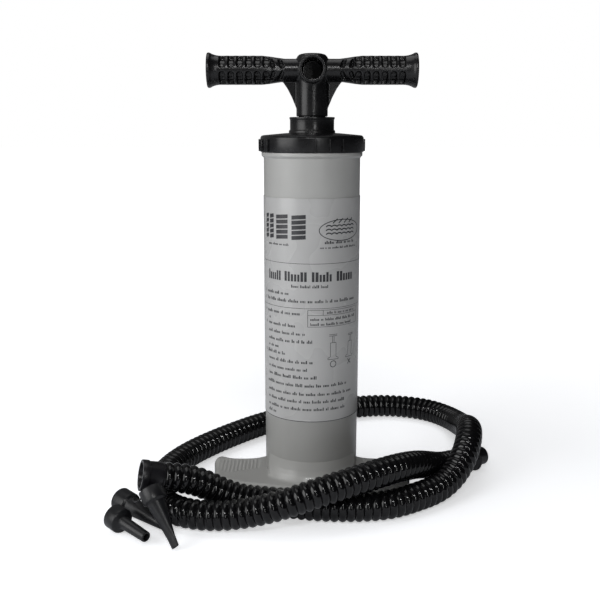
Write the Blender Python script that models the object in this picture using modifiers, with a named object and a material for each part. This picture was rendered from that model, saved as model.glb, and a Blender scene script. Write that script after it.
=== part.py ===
"""Double-action hand air pump: T-handle, barrel on a foot, loose hose and three nozzles.

Metres, +Z up. The barrel's axis is the Z axis, its foot stands on Z = 0, the inflating port
faces -Y and the deflating port faces +Y. Every sub-part is one closed body and one object.
"""

import math

import bmesh
import bpy
import numpy as np
from mathutils import Matrix, Vector

# ---------------------------------------------------------------- driving dimensions
BARREL_R = 0.0520        # outer radius of the barrel
BARREL_TOP = 0.3900      # top of the threaded neck
ROD_R = 0.0140           # outer radius of the hollow rod
HOSE_R = 0.0155          # over the hose's corrugations
FOOT_HALF_WIDTH = 0.1110
GRIP_HALF = 0.1110       # half the handle's length
GRIP_R = 0.0150
PORT_R = 0.0142          # outside of the port tube
PAD_TOP = 0.0220         # height of the foot

# ---------------------------------------------------------------- clearances and walls
GAP = 0.0003             # between pieces that touch
SLIP = 0.0004            # round the rod, where it slides
WALL = 0.0030

# ---------------------------------------------------------------- dependent dimensions
BORE_R = BARREL_R - WALL
BORE_FLOOR = PAD_TOP + 0.0020
NECK_R = BARREL_R - 0.00125
FLANGE_R = BARREL_R + 0.0015
FLANGE_TOP = BARREL_TOP - 0.0118
GASKET_TOP = BARREL_TOP + 0.0022
CAP_FLOOR = GASKET_TOP + GAP
CAP_R = BARREL_R + 0.0035
CAP_BOTTOM = FLANGE_TOP + 0.0004
COLLAR_R = ROD_R + 0.0096
COLLAR_TOP = CAP_FLOOR + 0.0225
COLLAR_BASE = CAP_FLOOR + 0.0060
STEM_BOTTOM = COLLAR_TOP + 0.0005
STEM_R = ROD_R + 0.00275
PORT_Z = STEM_BOTTOM + 0.0480
PORT_BORE_R = PORT_R - 0.00345
PORT_HALF = 0.0340
ROD_TOP = PORT_Z - 0.0195
AIR_R = ROD_R * 0.5
AIR_BORE_R = AIR_R - 0.0014
ROD_BORE_R = ROD_R - 0.0020
PISTON_Z = 0.0300        # underside of the piston's lower plate, handle down
PLATE = 0.0030
PLATE_R = BORE_R - 0.0012
CHEST_LOW = PISTON_Z + PLATE + GAP
CHEST_TOP = CHEST_LOW + 0.0224
UPPER_LOW = CHEST_TOP + GAP
UPPER_TOP = UPPER_LOW + PLATE
CHEST_R = BORE_R - 0.0015
CHEST_BORE_R = CHEST_R - 0.0055
HUB_R = ROD_R + 0.0035
SEAL_LOW = CHEST_LOW + 0.0057
SEAL_TOP = SEAL_LOW + 0.0050
ROD_SEAT = CHEST_LOW + 0.0177
VALVE_X = 0.5 * (HUB_R + CHEST_BORE_R)
VALVE_R = 0.0095
VALVE_LIFT = 0.0015
BUMPER_TOP = UPPER_TOP + GAP + 0.0050
SCREW_RING = CHEST_BORE_R - 0.0010
FOOT_HALF_DEPTH = BARREL_R + 0.0160
HOSE_BORE_R = HOSE_R - 0.00255
SPIGOT_R = HOSE_BORE_R - 0.00025

# The hose's route at the design size, from the nozzle end to the pump end.
ROUTE = [
    (-0.154, -0.102, 0.0490), (-0.126, -0.093, 0.0415), (-0.100, -0.084, 0.0265),
    (-0.075, -0.083, 0.0170), (-0.046, -0.088, 0.0158), (-0.006, -0.0985, 0.0158),
    (0.040, -0.1025, 0.0158), (0.084, -0.0945, 0.0158), (0.114, -0.076, 0.0158),
    (0.140, -0.055, 0.0170), (0.163, -0.031, 0.0270), (0.180, 0.000, 0.0420),
    (0.1895, 0.036, 0.0480), (0.194, 0.070, 0.0410), (0.197, 0.108, 0.0290),
    (0.196, 0.145, 0.0210), (0.188, 0.180, 0.0165), (0.170, 0.206, 0.0158),
    (0.143, 0.222, 0.0158), (0.104, 0.2295, 0.0158), (0.052, 0.2185, 0.0158),
    (0.000, 0.1945, 0.0158), (-0.048, 0.1655, 0.0158), (-0.090, 0.124, 0.0158),
    (-0.126, 0.078, 0.0158), (-0.153, 0.032, 0.0158), (-0.1675, -0.016, 0.0158),
    (-0.1675, -0.058, 0.0158), (-0.156, -0.093, 0.0158), (-0.133, -0.1145, 0.0158),
    (-0.103, -0.1225, 0.0158), (-0.068, -0.1255, 0.0200), (-0.030, -0.129, 0.0310),
    (0.008, -0.1225, 0.0415), (0.046, -0.108, 0.0478), (0.084, -0.080, 0.0478),
    (0.117, -0.042, 0.0380), (0.140, -0.008, 0.0235), (0.158, 0.0115, 0.0162),
    (0.176, 0.0225, 0.0158),
]
ROUTE_FOOT = 0.1110      # the foot's half width and the hose's radius at the design size
ROUTE_HOSE_R = 0.0155
CUFF_LENGTH = 0.0240
CONNECTOR_LENGTH = 0.0220
TETHER_R = 0.0009
TETHER_TURN = -30.0      # where round the cuff's rim the tether hangs, in degrees

# ---------------------------------------------------------------- colours
MATERIALS = {
    "grey_plastic": ((0.40, 0.40, 0.41, 1.0), 0.45, 0.0),
    "label_film": ((0.50, 0.51, 0.52, 1.0), 0.35, 0.1),
    "black_plastic": ((0.012, 0.012, 0.013, 1.0), 0.30, 0.0),
    "black_hose": ((0.010, 0.010, 0.011, 1.0), 0.22, 0.0),
    "black_soft": ((0.015, 0.015, 0.016, 1.0), 0.55, 0.0),
    "white_plastic": ((0.62, 0.62, 0.60, 1.0), 0.40, 0.0),
    "rubber": ((0.030, 0.030, 0.030, 1.0), 0.70, 0.0),
    "rod_steel": ((0.60, 0.61, 0.63, 1.0), 0.25, 1.0),
    "tether_line": ((0.35, 0.35, 0.34, 1.0), 0.60, 0.0),
}


# ---------------------------------------------------------------- scene helpers
def clear_scene():
    for obj in list(bpy.data.objects):
        bpy.data.objects.remove(obj, do_unlink=True)


def make_collection(name):
    made = bpy.data.collections.new(name)
    bpy.context.scene.collection.children.link(made)
    return made


def material(name):
    if name in bpy.data.materials:
        return bpy.data.materials[name]
    colour, roughness, metallic = MATERIALS[name]
    made = bpy.data.materials.new(name)
    made.use_nodes = True
    made.diffuse_color = colour
    shader = made.node_tree.nodes["Principled BSDF"]
    shader.inputs["Base Color"].default_value = colour
    shader.inputs["Roughness"].default_value = roughness
    shader.inputs["Metallic"].default_value = metallic
    return made


def add_object(name, data, finish=None):
    """Adds a part, or a cutter when no finish is given."""
    obj = bpy.data.objects.new(name, data)
    if finish is None:
        CUTTERS.objects.link(obj)
        obj.hide_render = True
        obj.display_type = "WIRE"
    else:
        PARTS.objects.link(obj)
        own = material(finish).copy()
        own.name = name + "_" + finish
        data.materials.append(own)
    return obj


def smooth(mesh, degrees=40):
    mesh.shade_smooth()
    mesh.set_sharp_from_angle(angle=math.radians(degrees))


# ---------------------------------------------------------------- shape helpers
def turned(name, profile, finish=None, steps=32, place=None):
    """A ring or solid turned round Z from (radius, z) pairs running down the outer side."""
    mesh = bpy.data.meshes.new(name)
    shape = bmesh.new()
    verts = [shape.verts.new((r, 0.0, z)) for r, z in profile]
    for here, there in zip(verts, verts[1:]):
        shape.edges.new((here, there))
    on_axis = profile[0][0] == 0.0 and profile[-1][0] == 0.0
    if not on_axis:
        shape.edges.new((verts[-1], verts[0]))
    shape.to_mesh(mesh)
    shape.free()
    obj = add_object(name, mesh, finish)
    screw = obj.modifiers.new("Turn", "SCREW")
    screw.axis = "Z"
    screw.angle = math.tau
    screw.steps = steps
    screw.render_steps = steps
    screw.use_merge_vertices = True
    screw.merge_threshold = 0.00001
    screw.use_smooth_shade = True
    screw.use_normal_calculate = False
    if place is not None:
        obj.matrix_world = place
    return obj


def ring(name, inner, outer, low, high, finish=None, steps=32, place=None):
    return turned(name, [(outer, high), (outer, low), (inner, low), (inner, high)], finish, steps, place)


def disc(name, radius, low, high, finish=None, steps=32, place=None):
    return turned(name, [(0.0, high), (radius, high), (radius, low), (0.0, low)], finish, steps, place)


def boxes(name, items, finish=None):
    """Boxes from (centre, size, turn about Z in degrees) in one object."""
    mesh = bpy.data.meshes.new(name)
    shape = bmesh.new()
    for centre, size, degrees in items:
        matrix = Matrix.Translation(centre) @ Matrix.Rotation(math.radians(degrees), 4, "Z")
        bmesh.ops.create_cube(shape, size=1.0, matrix=matrix @ Matrix.Diagonal((*size, 1.0)))
    shape.to_mesh(mesh)
    shape.free()
    return add_object(name, mesh, finish)


def rods(name, items, finish=None, segments=16):
    """Round bars from (start, end, radius) in one object."""
    mesh = bpy.data.meshes.new(name)
    shape = bmesh.new()
    for start, end, radius in items:
        start, end = Vector(start), Vector(end)
        matrix = aim((start + end) / 2, end - start)
        bmesh.ops.create_cone(
            shape, cap_ends=True, segments=segments, radius1=radius, radius2=radius,
            depth=(end - start).length, matrix=matrix,
        )
    shape.to_mesh(mesh)
    shape.free()
    obj = add_object(name, mesh, finish)
    smooth(obj.data)
    return obj


def plate(name, outline, thickness, low, finish=None, rounding=0.0):
    """A flat outline in XY, filled and extruded upwards from low, with rounded rims."""
    curve = bpy.data.curves.new(name, "CURVE")
    curve.dimensions = "2D"
    curve.fill_mode = "BOTH"
    curve.extrude = thickness / 2 - rounding
    curve.bevel_depth = rounding
    curve.bevel_resolution = 2
    curve.offset = -rounding
    spline = curve.splines.new("POLY")
    spline.points.add(len(outline) - 1)
    for point, (x, y) in zip(spline.points, outline):
        point.co = (x, y, 0.0, 1.0)
    spline.use_cyclic_u = True
    guide = bpy.data.objects.new(name + "_guide", curve)
    CUTTERS.objects.link(guide)
    bpy.context.view_layer.update()
    graph = bpy.context.evaluated_depsgraph_get()
    mesh = bpy.data.meshes.new_from_object(guide.evaluated_get(graph))
    bpy.data.objects.remove(guide)
    mesh.materials.clear()
    shape = bmesh.new()
    shape.from_mesh(mesh)
    bmesh.ops.remove_doubles(shape, verts=shape.verts, dist=0.00001)
    bmesh.ops.translate(shape, verts=shape.verts, vec=(0, 0, low + thickness / 2))
    bmesh.ops.recalc_face_normals(shape, faces=shape.faces)
    shape.to_mesh(mesh)
    shape.free()
    mesh.name = name
    return add_object(name, mesh, finish)


def boolean(obj, other, operation):
    modifier = obj.modifiers.new(operation.title() + "_" + other.name, "BOOLEAN")
    modifier.operation = operation
    modifier.solver = "EXACT"
    modifier.object = other


def cut(obj, *others):
    for other in others:
        boolean(obj, other, "DIFFERENCE")


def join(obj, *others):
    for other in others:
        boolean(obj, other, "UNION")


def aim(origin, direction):
    """The placement that puts local Z along the direction."""
    return Matrix.Translation(origin) @ Vector(direction).to_track_quat("Z", "Y").to_matrix().to_4x4()


def tipped(x, y, z, axis, degrees):
    return Matrix.Translation((x, y, z)) @ Matrix.Rotation(math.radians(degrees), 4, axis)


def smooth_line(points, step):
    """Points every step along the natural cubic spline through the given points."""
    points = np.array(points)
    lengths = np.linalg.norm(np.diff(points, axis=0), axis=1)
    along = np.concatenate([[0.0], np.cumsum(lengths)])
    count = len(points)
    system = np.zeros((count, count))
    right = np.zeros((count, 3))
    system[0, 0] = system[-1, -1] = 1.0
    for i in range(1, count - 1):
        system[i, i - 1] = lengths[i - 1]
        system[i, i] = 2 * (lengths[i - 1] + lengths[i])
        system[i, i + 1] = lengths[i]
        after = (points[i + 1] - points[i]) / lengths[i]
        before = (points[i] - points[i - 1]) / lengths[i - 1]
        right[i] = 6 * (after - before)
    bend = np.linalg.solve(system, right)
    at = np.linspace(0.0, along[-1], int(along[-1] / step) + 1)
    i = np.clip(np.searchsorted(along, at, side="right") - 1, 0, count - 2)
    span = lengths[i]
    a = (along[i + 1] - at) / span
    b = (at - along[i]) / span
    line = a[:, None] * points[i] + b[:, None] * points[i + 1]
    line += (a**3 - a)[:, None] * bend[i] * (span**2)[:, None] / 6
    line += (b**3 - b)[:, None] * bend[i + 1] * (span**2)[:, None] / 6
    return line


def tube_along(name, line, radius, finish, resolution=3):
    curve = bpy.data.curves.new(name, "CURVE")
    curve.dimensions = "3D"
    curve.bevel_depth = radius
    curve.bevel_resolution = resolution
    curve.use_fill_caps = True
    spline = curve.splines.new("POLY")
    spline.points.add(len(line) - 1)
    for point, place in zip(spline.points, line):
        point.co = (*place, 1.0)
    return add_object(name, curve, finish)


def joint_empty(name, place, parent=None):
    empty = bpy.data.objects.new(name, None)
    empty.empty_display_size = 0.01
    PARTS.objects.link(empty)
    empty.location = place
    if parent is not None:
        hang(empty, parent)
    return empty


def hang(obj, parent):
    """Parents an object without moving it."""
    bpy.context.view_layer.update()
    obj.parent = parent
    obj.matrix_parent_inverse = parent.matrix_world.inverted()


# ---------------------------------------------------------------- barrel and foot
def foot_outline(inset=0.0):
    """The foot seen from above: two wings, a rounded front and a round heel."""
    wide = FOOT_HALF_WIDTH / 0.111
    deep = FOOT_HALF_DEPTH / 0.068
    half = [
        (0.0000, -0.0680), (0.0280, -0.0660), (0.0550, -0.0610), (0.0800, -0.0540),
        (0.0980, -0.0460), (0.1080, -0.0380), (0.1110, -0.0280), (0.1110, 0.0000),
        (0.1110, 0.0250), (0.1070, 0.0280), (0.0980, 0.0240), (0.0800, 0.0205),
        (0.0620, 0.0235), (0.0520, 0.0310), (0.0440, 0.0440), (0.0320, 0.0570),
        (0.0160, 0.0655), (0.0000, 0.0680),
    ]
    half = [(x * wide, y * deep) for x, y in half]
    loop = half + [(-x, y) for x, y in half[-2:0:-1]]
    closed = np.array(loop)
    before = closed - np.roll(closed, 1, axis=0)
    after = np.roll(closed, -1, axis=0) - closed
    along = before / np.linalg.norm(before, axis=1)[:, None]
    along = along + after / np.linalg.norm(after, axis=1)[:, None]
    along /= np.linalg.norm(along, axis=1)[:, None]
    inward = np.stack([-along[:, 1], along[:, 0]], axis=1)
    return [tuple(point) for point in closed + inset * inward]


def make_barrel():
    body = turned("barrel_and_foot", [
        (0.0, BORE_FLOOR), (BORE_R, BORE_FLOOR), (BORE_R, BARREL_TOP), (NECK_R, BARREL_TOP),
        (NECK_R, FLANGE_TOP), (FLANGE_R, FLANGE_TOP), (FLANGE_R, FLANGE_TOP - 0.0040),
        (FLANGE_R - 0.0005, FLANGE_TOP - 0.0047), (BARREL_R, FLANGE_TOP - 0.0047),
        (BARREL_R, PAD_TOP - WALL), (0.0, PAD_TOP - WALL),
    ], "grey_plastic", steps=48)
    pad = plate("pad", foot_outline(), PAD_TOP, 0.0, rounding=0.0015)
    hollow = plate("pad_hollow", foot_outline(WALL), PAD_TOP - WALL + 0.004, -0.004)
    web_x = ((0, 0, 0.008), (2 * FOOT_HALF_WIDTH, 0.0022, 0.024), 0)
    web_y = ((0, 0, 0.008), (0.0022, 2 * FOOT_HALF_DEPTH, 0.0241), 0)
    cut(hollow, boxes("pad_web_x", [web_x]), boxes("pad_web_y", [web_y]))
    cut(hollow, disc("pad_hub", 0.0150, -0.006, 0.024))
    cut(pad, hollow)
    grooves = []
    for side in (-1, 1):
        for i in range(9):
            x = FOOT_HALF_WIDTH * (0.565 + 0.046 * i)
            length = 0.024 + 0.0024 * i
            grooves.append(((side * x, -0.006 - 0.0012 * (8 - i), PAD_TOP), (0.0026, length, 0.0022), 0))
    cut(pad, boxes("tread_grooves", grooves))
    join(body, pad)
    return body


def make_label():
    return ring("label_film", BARREL_R + GAP, BARREL_R + GAP + 0.00025, 0.0905,
                BARREL_TOP - 0.0580, "label_film", steps=48)


# ---------------------------------------------------------------- cap
def make_cap():
    cap = turned("cap", [
        (ROD_R + 0.0010, COLLAR_TOP), (COLLAR_R - 0.0004, COLLAR_TOP), (COLLAR_R + 0.0006, COLLAR_TOP - 0.0008),
        (COLLAR_R + 0.0006, COLLAR_TOP - 0.0020), (COLLAR_R, COLLAR_TOP - 0.0026),
        (COLLAR_R, COLLAR_BASE + 0.0030), (COLLAR_R + 0.0012, COLLAR_BASE + 0.0025),
        (COLLAR_R + 0.0012, COLLAR_BASE), (CAP_R - 0.0025, CAP_FLOOR + 0.0035),
        (CAP_R - 0.0008, CAP_FLOOR + 0.0027), (CAP_R, CAP_FLOOR + 0.0010),
        (CAP_R, CAP_BOTTOM), (CAP_R - 0.0028, CAP_BOTTOM), (CAP_R - 0.0028, CAP_FLOOR),
        (ROD_R + 0.0045, CAP_FLOOR), (ROD_R + 0.0045, COLLAR_TOP - 0.0020),
        (ROD_R + 0.0010, COLLAR_TOP - 0.0020),
    ], "black_plastic", steps=48)
    ribs = []
    middle = (CAP_FLOOR - 0.0003 + CAP_BOTTOM) / 2
    for group in range(4):
        for step in range(3):
            turn = -90 + 3 + 15.5 * step + 90 * group
            out = CAP_R + 0.0006
            spot = (out * math.cos(math.radians(turn)), out * math.sin(math.radians(turn)), middle)
            ribs.append((spot, (0.0028, 0.0016, CAP_FLOOR - CAP_BOTTOM - 0.0009), turn))
    join(cap, boxes("cap_ribs", ribs))
    gasket = ring("cap_gasket", BORE_R - 0.0035, NECK_R - GAP, BARREL_TOP + GAP, GASKET_TOP, "rubber", 48)
    bush = ring("rod_guide_bush", ROD_R + SLIP, ROD_R + 0.0042, CAP_FLOOR + GAP, CAP_FLOOR + 0.0125,
                "white_plastic", 32)
    seal_low = CAP_FLOOR + 0.0128
    seal_top = COLLAR_TOP - 0.0023
    wiper = turned("rod_wiper_seal", [
        (ROD_R + 0.0042, seal_top), (ROD_R + 0.0042, seal_low), (ROD_R + 0.0014, seal_low),
        (ROD_R + SLIP, seal_low + 0.0020), (ROD_R + SLIP, seal_low + 0.0030),
        (ROD_R + 0.0014, seal_low + 0.0045), (ROD_R + 0.0014, seal_top),
    ], "rubber", 32)
    return cap, gasket, bush, wiper


# ---------------------------------------------------------------- handle
def make_handle():
    along_x = tipped(0, 0, PORT_Z, "Y", 90)
    neck = GRIP_R - 0.0032
    flange = GRIP_R + 0.0032
    half = [(neck, 0.0), (neck, 0.0300), (GRIP_R - 0.0010, 0.0450), (GRIP_R, 0.0520),
            (GRIP_R, GRIP_HALF - 0.0120), (GRIP_R + 0.0012, GRIP_HALF - 0.0065),
            (flange, GRIP_HALF - 0.0030), (flange, GRIP_HALF)]
    profile = [(0.0, GRIP_HALF)] + half[::-1] + [(r, -x) for r, x in half[1:]] + [(0.0, -GRIP_HALF)]
    handle = turned("handle_body", profile, "black_plastic", steps=28, place=along_x)

    top = PORT_Z + 0.0170
    stem = turned("handle_stem", [
        (0.0, top), (STEM_R - 0.0060, top), (STEM_R - 0.0020, top - 0.0014),
        (STEM_R, top - 0.0050), (STEM_R, STEM_BOTTOM), (0.0, STEM_BOTTOM),
    ], steps=32)
    port = disc("handle_port", PORT_R, -PORT_HALF, PORT_HALF, place=tipped(0, 0, PORT_Z, "X", 90))
    web = [(0.0322, PORT_Z - 0.0112), (0.0245, PORT_Z - 0.0215), (0.0200, PORT_Z - 0.0310),
           (STEM_R - 0.0004, PORT_Z - 0.0398), (-STEM_R + 0.0004, PORT_Z - 0.0398),
           (-0.0200, PORT_Z - 0.0310), (-0.0245, PORT_Z - 0.0215), (-0.0322, PORT_Z - 0.0112),
           (-0.0300, PORT_Z - 0.0040), (0.0300, PORT_Z - 0.0040)]
    gusset = plate("handle_gusset", web, 0.0040, -0.0020)
    gusset.matrix_world = Matrix.Rotation(math.radians(90), 4, "X")
    join(handle, stem, port, gusset)

    rod_room = disc("handle_rod_room", ROD_R + GAP, STEM_BOTTOM - 0.01, ROD_TOP + 0.0035)
    roof_hole = disc("handle_roof_hole", AIR_R + 0.0002, ROD_TOP, PORT_Z, steps=24)
    split = 0.0090
    front_port = disc("handle_front_bore", PORT_BORE_R, -split + 0.0015, 0.05, place=tipped(0, 0, PORT_Z, "X", 90))
    back_port = disc("handle_back_bore", PORT_BORE_R, split + 0.0015, 0.05, place=tipped(0, 0, PORT_Z, "X", -90))
    cut(handle, rod_room, front_port, back_port, roof_hole)
    # Air for the return side passes from round the air tube into the back port.
    passage_y = split + 0.0032
    passages = rods("handle_passage", [((0, passage_y, ROD_TOP + 0.001), (0, passage_y, PORT_Z - 0.0030), 0.0020)],
                    segments=12)
    hollows = rods("grip_hollows", [
        ((side * (GRIP_HALF - 0.075), 0, PORT_Z), (side * (GRIP_HALF + 0.01), 0, PORT_Z), 0.0080)
        for side in (-1, 1)], segments=24)
    screw_z = ROD_TOP - 0.0140
    shank_hole = rods("handle_shank_hole", [((0, ROD_R - 0.003, screw_z), (0, 0.03, screw_z), 0.0019)])
    cut(handle, passages, hollows, shank_hole)
    cut(handle, make_grip_pockets(along_x))

    plugs = []
    for side, word in ((-1, "left"), (1, "right")):
        place = tipped(side * GRIP_HALF, 0, PORT_Z, "Y", 90 * side)
        plug = turned("grip_plug_" + word, [
            (0.0, 0.0), (0.0062, 0.0), (0.0077, -0.0012), (0.0077, -0.0060), (0.0, -0.0060),
        ], "black_plastic", 24, place)
        plugs.append(plug)
    return handle, plugs, screw_z


def make_grip_pockets(along_x):
    """Rings cut down to four pockets each by a cross of solid plastic, in both grips."""
    count = int((GRIP_HALF - 0.0165 - 0.0470) / 0.00925) + 1
    loops = []
    mesh = bpy.data.meshes.new("grip_pockets")
    shape = bmesh.new()
    for side in (-1, 1):
        for i in range(count):
            x = side * (GRIP_HALF - 0.0165 - 0.00925 * i)
            low, high = x - 0.0026, x + 0.0026
            corners = [(GRIP_R + 0.004, high), (GRIP_R + 0.004, low), (GRIP_R - 0.0042, low), (GRIP_R - 0.0042, high)]
            loops.append([shape.verts.new((r, 0.0, z)) for r, z in corners])
    for loop in loops:
        for here, there in zip(loop, loop[1:] + loop[:1]):
            shape.edges.new((here, there))
    shape.to_mesh(mesh)
    shape.free()
    pockets = add_object("grip_pockets", mesh)
    screw = pockets.modifiers.new("Turn", "SCREW")
    screw.axis = "Z"
    screw.steps = 14
    screw.render_steps = 14
    screw.use_merge_vertices = True
    screw.merge_threshold = 0.00001
    screw.use_normal_calculate = False
    pockets.matrix_world = along_x @ Matrix.Rotation(math.radians(4), 4, "Z")
    flat = boxes("grip_spine_flat", [((0, 0, PORT_Z), (0.3, 0.06, 0.0043), 0)])
    upright = boxes("grip_spine_upright", [((0, 0, PORT_Z), (0.31, 0.0034, 0.06), 0)])
    cut(pockets, flat, upright)
    return pockets


def make_rod(screw_z):
    rod = ring("rod_tube", ROD_BORE_R, ROD_R, ROD_SEAT + GAP, ROD_TOP, "rod_steel", 32)
    depth = ROD_R - 0.0018
    cut(rod, rods("rod_screw_dimple", [((0, depth, screw_z), (0, 0.03, screw_z), 0.0019)]))
    air = ring("air_tube", AIR_BORE_R, AIR_R, ROD_SEAT - 0.0070 + GAP, ROD_TOP + 0.0105, "white_plastic", 24)
    screw = turned("rod_screw", [
        (0.0, 0.0020), (0.0022, 0.0020), (0.0035, 0.0008), (0.0035, 0.0), (0.0015, 0.0),
        (0.0015, depth + GAP - STEM_R - 0.0004), (0.0, depth + GAP - STEM_R - 0.0004),
    ], "rod_steel", 16, tipped(0, STEM_R + 0.0004, screw_z, "X", -90))
    slot = boxes("rod_screw_slot", [((0, STEM_R + 0.0025, screw_z), (0.0050, 0.0018, 0.0008), 0)])
    cut(screw, slot)
    return rod, air, screw


# ---------------------------------------------------------------- piston
def plate_holes(name, low, high):
    """Stem and port holes for both valves, and the screw holes, of one piston plate."""
    items = []
    for side in (-1, 1):
        middle = side * VALVE_X
        items.append(((middle, 0, low - 0.002), (middle, 0, high + 0.002), 0.0019))
        for i in range(4):
            turn = math.tau * (i + 0.5) / 4
            x = middle + 0.0056 * math.cos(turn)
            y = 0.0056 * math.sin(turn)
            items.append(((x, y, low - 0.002), (x, y, high + 0.002), 0.0020))
    for x, y in screw_spots():
        items.append(((x, y, low - 0.002), (x, y, high + 0.002), 0.0018))
    return rods(name, items, segments=8)


def screw_spots():
    return [(SCREW_RING * math.cos(math.radians(turn)), SCREW_RING * math.sin(math.radians(turn)))
            for turn in (90, 210, 330)]


def make_piston():
    lower = disc("piston_lower_plate", PLATE_R, PISTON_Z, PISTON_Z + PLATE, "black_plastic", 36)
    cut(lower, plate_holes("lower_holes", PISTON_Z, PISTON_Z + PLATE))
    upper = ring("piston_upper_plate", ROD_R + GAP, PLATE_R, UPPER_LOW, UPPER_TOP, "black_plastic", 36)
    cut(upper, plate_holes("upper_holes", UPPER_LOW, UPPER_TOP))

    groove = BORE_R - 0.0040
    chest = turned("piston_chest", [
        (0.0, CHEST_TOP), (CHEST_R, CHEST_TOP), (CHEST_R, SEAL_TOP + GAP), (groove, SEAL_TOP + GAP),
        (groove, SEAL_LOW - GAP), (CHEST_R, SEAL_LOW - GAP), (CHEST_R, CHEST_LOW), (0.0, CHEST_LOW),
    ], "black_plastic", 40)
    rooms = ring("chest_rooms", HUB_R, CHEST_BORE_R, CHEST_LOW - 0.002, CHEST_TOP + 0.002, None, 40)
    wall = boxes("chest_wall", [((0, 0, 0.045), (0.0024, 0.2, 0.08), 0)])
    bosses = rods("chest_bosses", [((x, y, 0.0), (x, y, 0.09), 0.0038) for x, y in screw_spots()])
    cut(rooms, wall, bosses)
    cut(chest, rooms)
    socket = turned("rod_socket", [
        (0.0, CHEST_TOP + 0.002), (ROD_R + GAP, CHEST_TOP + 0.002), (ROD_R + GAP, ROD_SEAT),
        (ROD_BORE_R - 0.0004, ROD_SEAT), (ROD_BORE_R - 0.0004, ROD_SEAT - 0.0040),
        (AIR_R + 0.0002, ROD_SEAT - 0.0040), (AIR_R + 0.0002, ROD_SEAT - 0.0070),
        (AIR_BORE_R, ROD_SEAT - 0.0070), (AIR_BORE_R, ROD_SEAT - 0.0150), (0.0, ROD_SEAT - 0.0150),
    ], None, 24)
    cut(chest, socket)
    ways = rods("chest_ways", [
        ((-HUB_R - 0.002, 0, ROD_SEAT - 0.0020), (-AIR_R - 0.0008, 0, ROD_SEAT - 0.0020), 0.0015),
        ((AIR_BORE_R * 0.6, 0, ROD_SEAT - 0.0112), (HUB_R + 0.002, 0, ROD_SEAT - 0.0112), 0.0030)],
        segments=12)
    cut(chest, ways)
    cut(chest, rods("chest_screw_holes", [((x, y, 0.0), (x, y, 0.09), 0.0018) for x, y in screw_spots()],
                    segments=12))

    seal = turned("piston_seal", [
        (BORE_R - GAP, SEAL_TOP), (BORE_R - GAP, SEAL_TOP - 0.0012), (BORE_R - 0.0012, SEAL_TOP - 0.0022),
        (BORE_R - 0.0012, SEAL_LOW + 0.0022), (BORE_R - GAP, SEAL_LOW + 0.0012), (BORE_R - GAP, SEAL_LOW),
        (groove + GAP, SEAL_LOW), (groove + GAP, SEAL_TOP),
    ], "rubber", 36)
    bumper = turned("bumper_ring", [
        (ROD_R + 0.0055, BUMPER_TOP), (ROD_R + 0.0060, BUMPER_TOP - 0.0008), (ROD_R + 0.0060, UPPER_TOP + GAP),
        (ROD_R + 0.0005, UPPER_TOP + GAP), (ROD_R + 0.0005, BUMPER_TOP),
    ], "rubber", 32)
    screws = []
    for i, (x, y) in enumerate(screw_spots()):
        screw = turned("piston_screw_%d" % (i + 1), [
            (0.0, UPPER_TOP - 0.0003), (0.0015, UPPER_TOP - 0.0003), (0.0015, PISTON_Z - GAP),
            (0.0030, PISTON_Z - GAP), (0.0030, PISTON_Z - GAP - 0.0010), (0.0018, PISTON_Z - GAP - 0.0019),
            (0.0, PISTON_Z - GAP - 0.0019),
        ], "rod_steel", 12, Matrix.Translation((x, y, 0)))
        screws.append(screw)
    return lower, upper, chest, seal, bumper, screws


def make_valve(name, x, face, other_face):
    """A mushroom valve: its disc lies on one face and its bulb stands off the other."""
    up = 1 if face > other_face else -1
    near = face + up * GAP
    far = other_face - up * GAP
    profile = [
        (0.0, near + up * 0.0014), (VALVE_R - 0.0008, near + up * 0.0012), (VALVE_R, near + up * 0.0004),
        (VALVE_R, near), (0.0015, near), (0.0015, far - up * VALVE_LIFT),
        (0.0024, far - up * (VALVE_LIFT + 0.0006)), (0.0015, far - up * (VALVE_LIFT + 0.0022)),
        (0.0, far - up * (VALVE_LIFT + 0.0026)),
    ]
    if up < 0:
        profile = profile[::-1]
    return turned(name, profile, "rubber", 14, Matrix.Translation((x, 0, 0)))


# ---------------------------------------------------------------- hose and nozzles
def hose_line(step):
    wide = FOOT_HALF_WIDTH / ROUTE_FOOT
    high = HOSE_R / ROUTE_HOSE_R
    return smooth_line([(x * wide, y * wide, z * high) for x, y, z in ROUTE], step)


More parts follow.
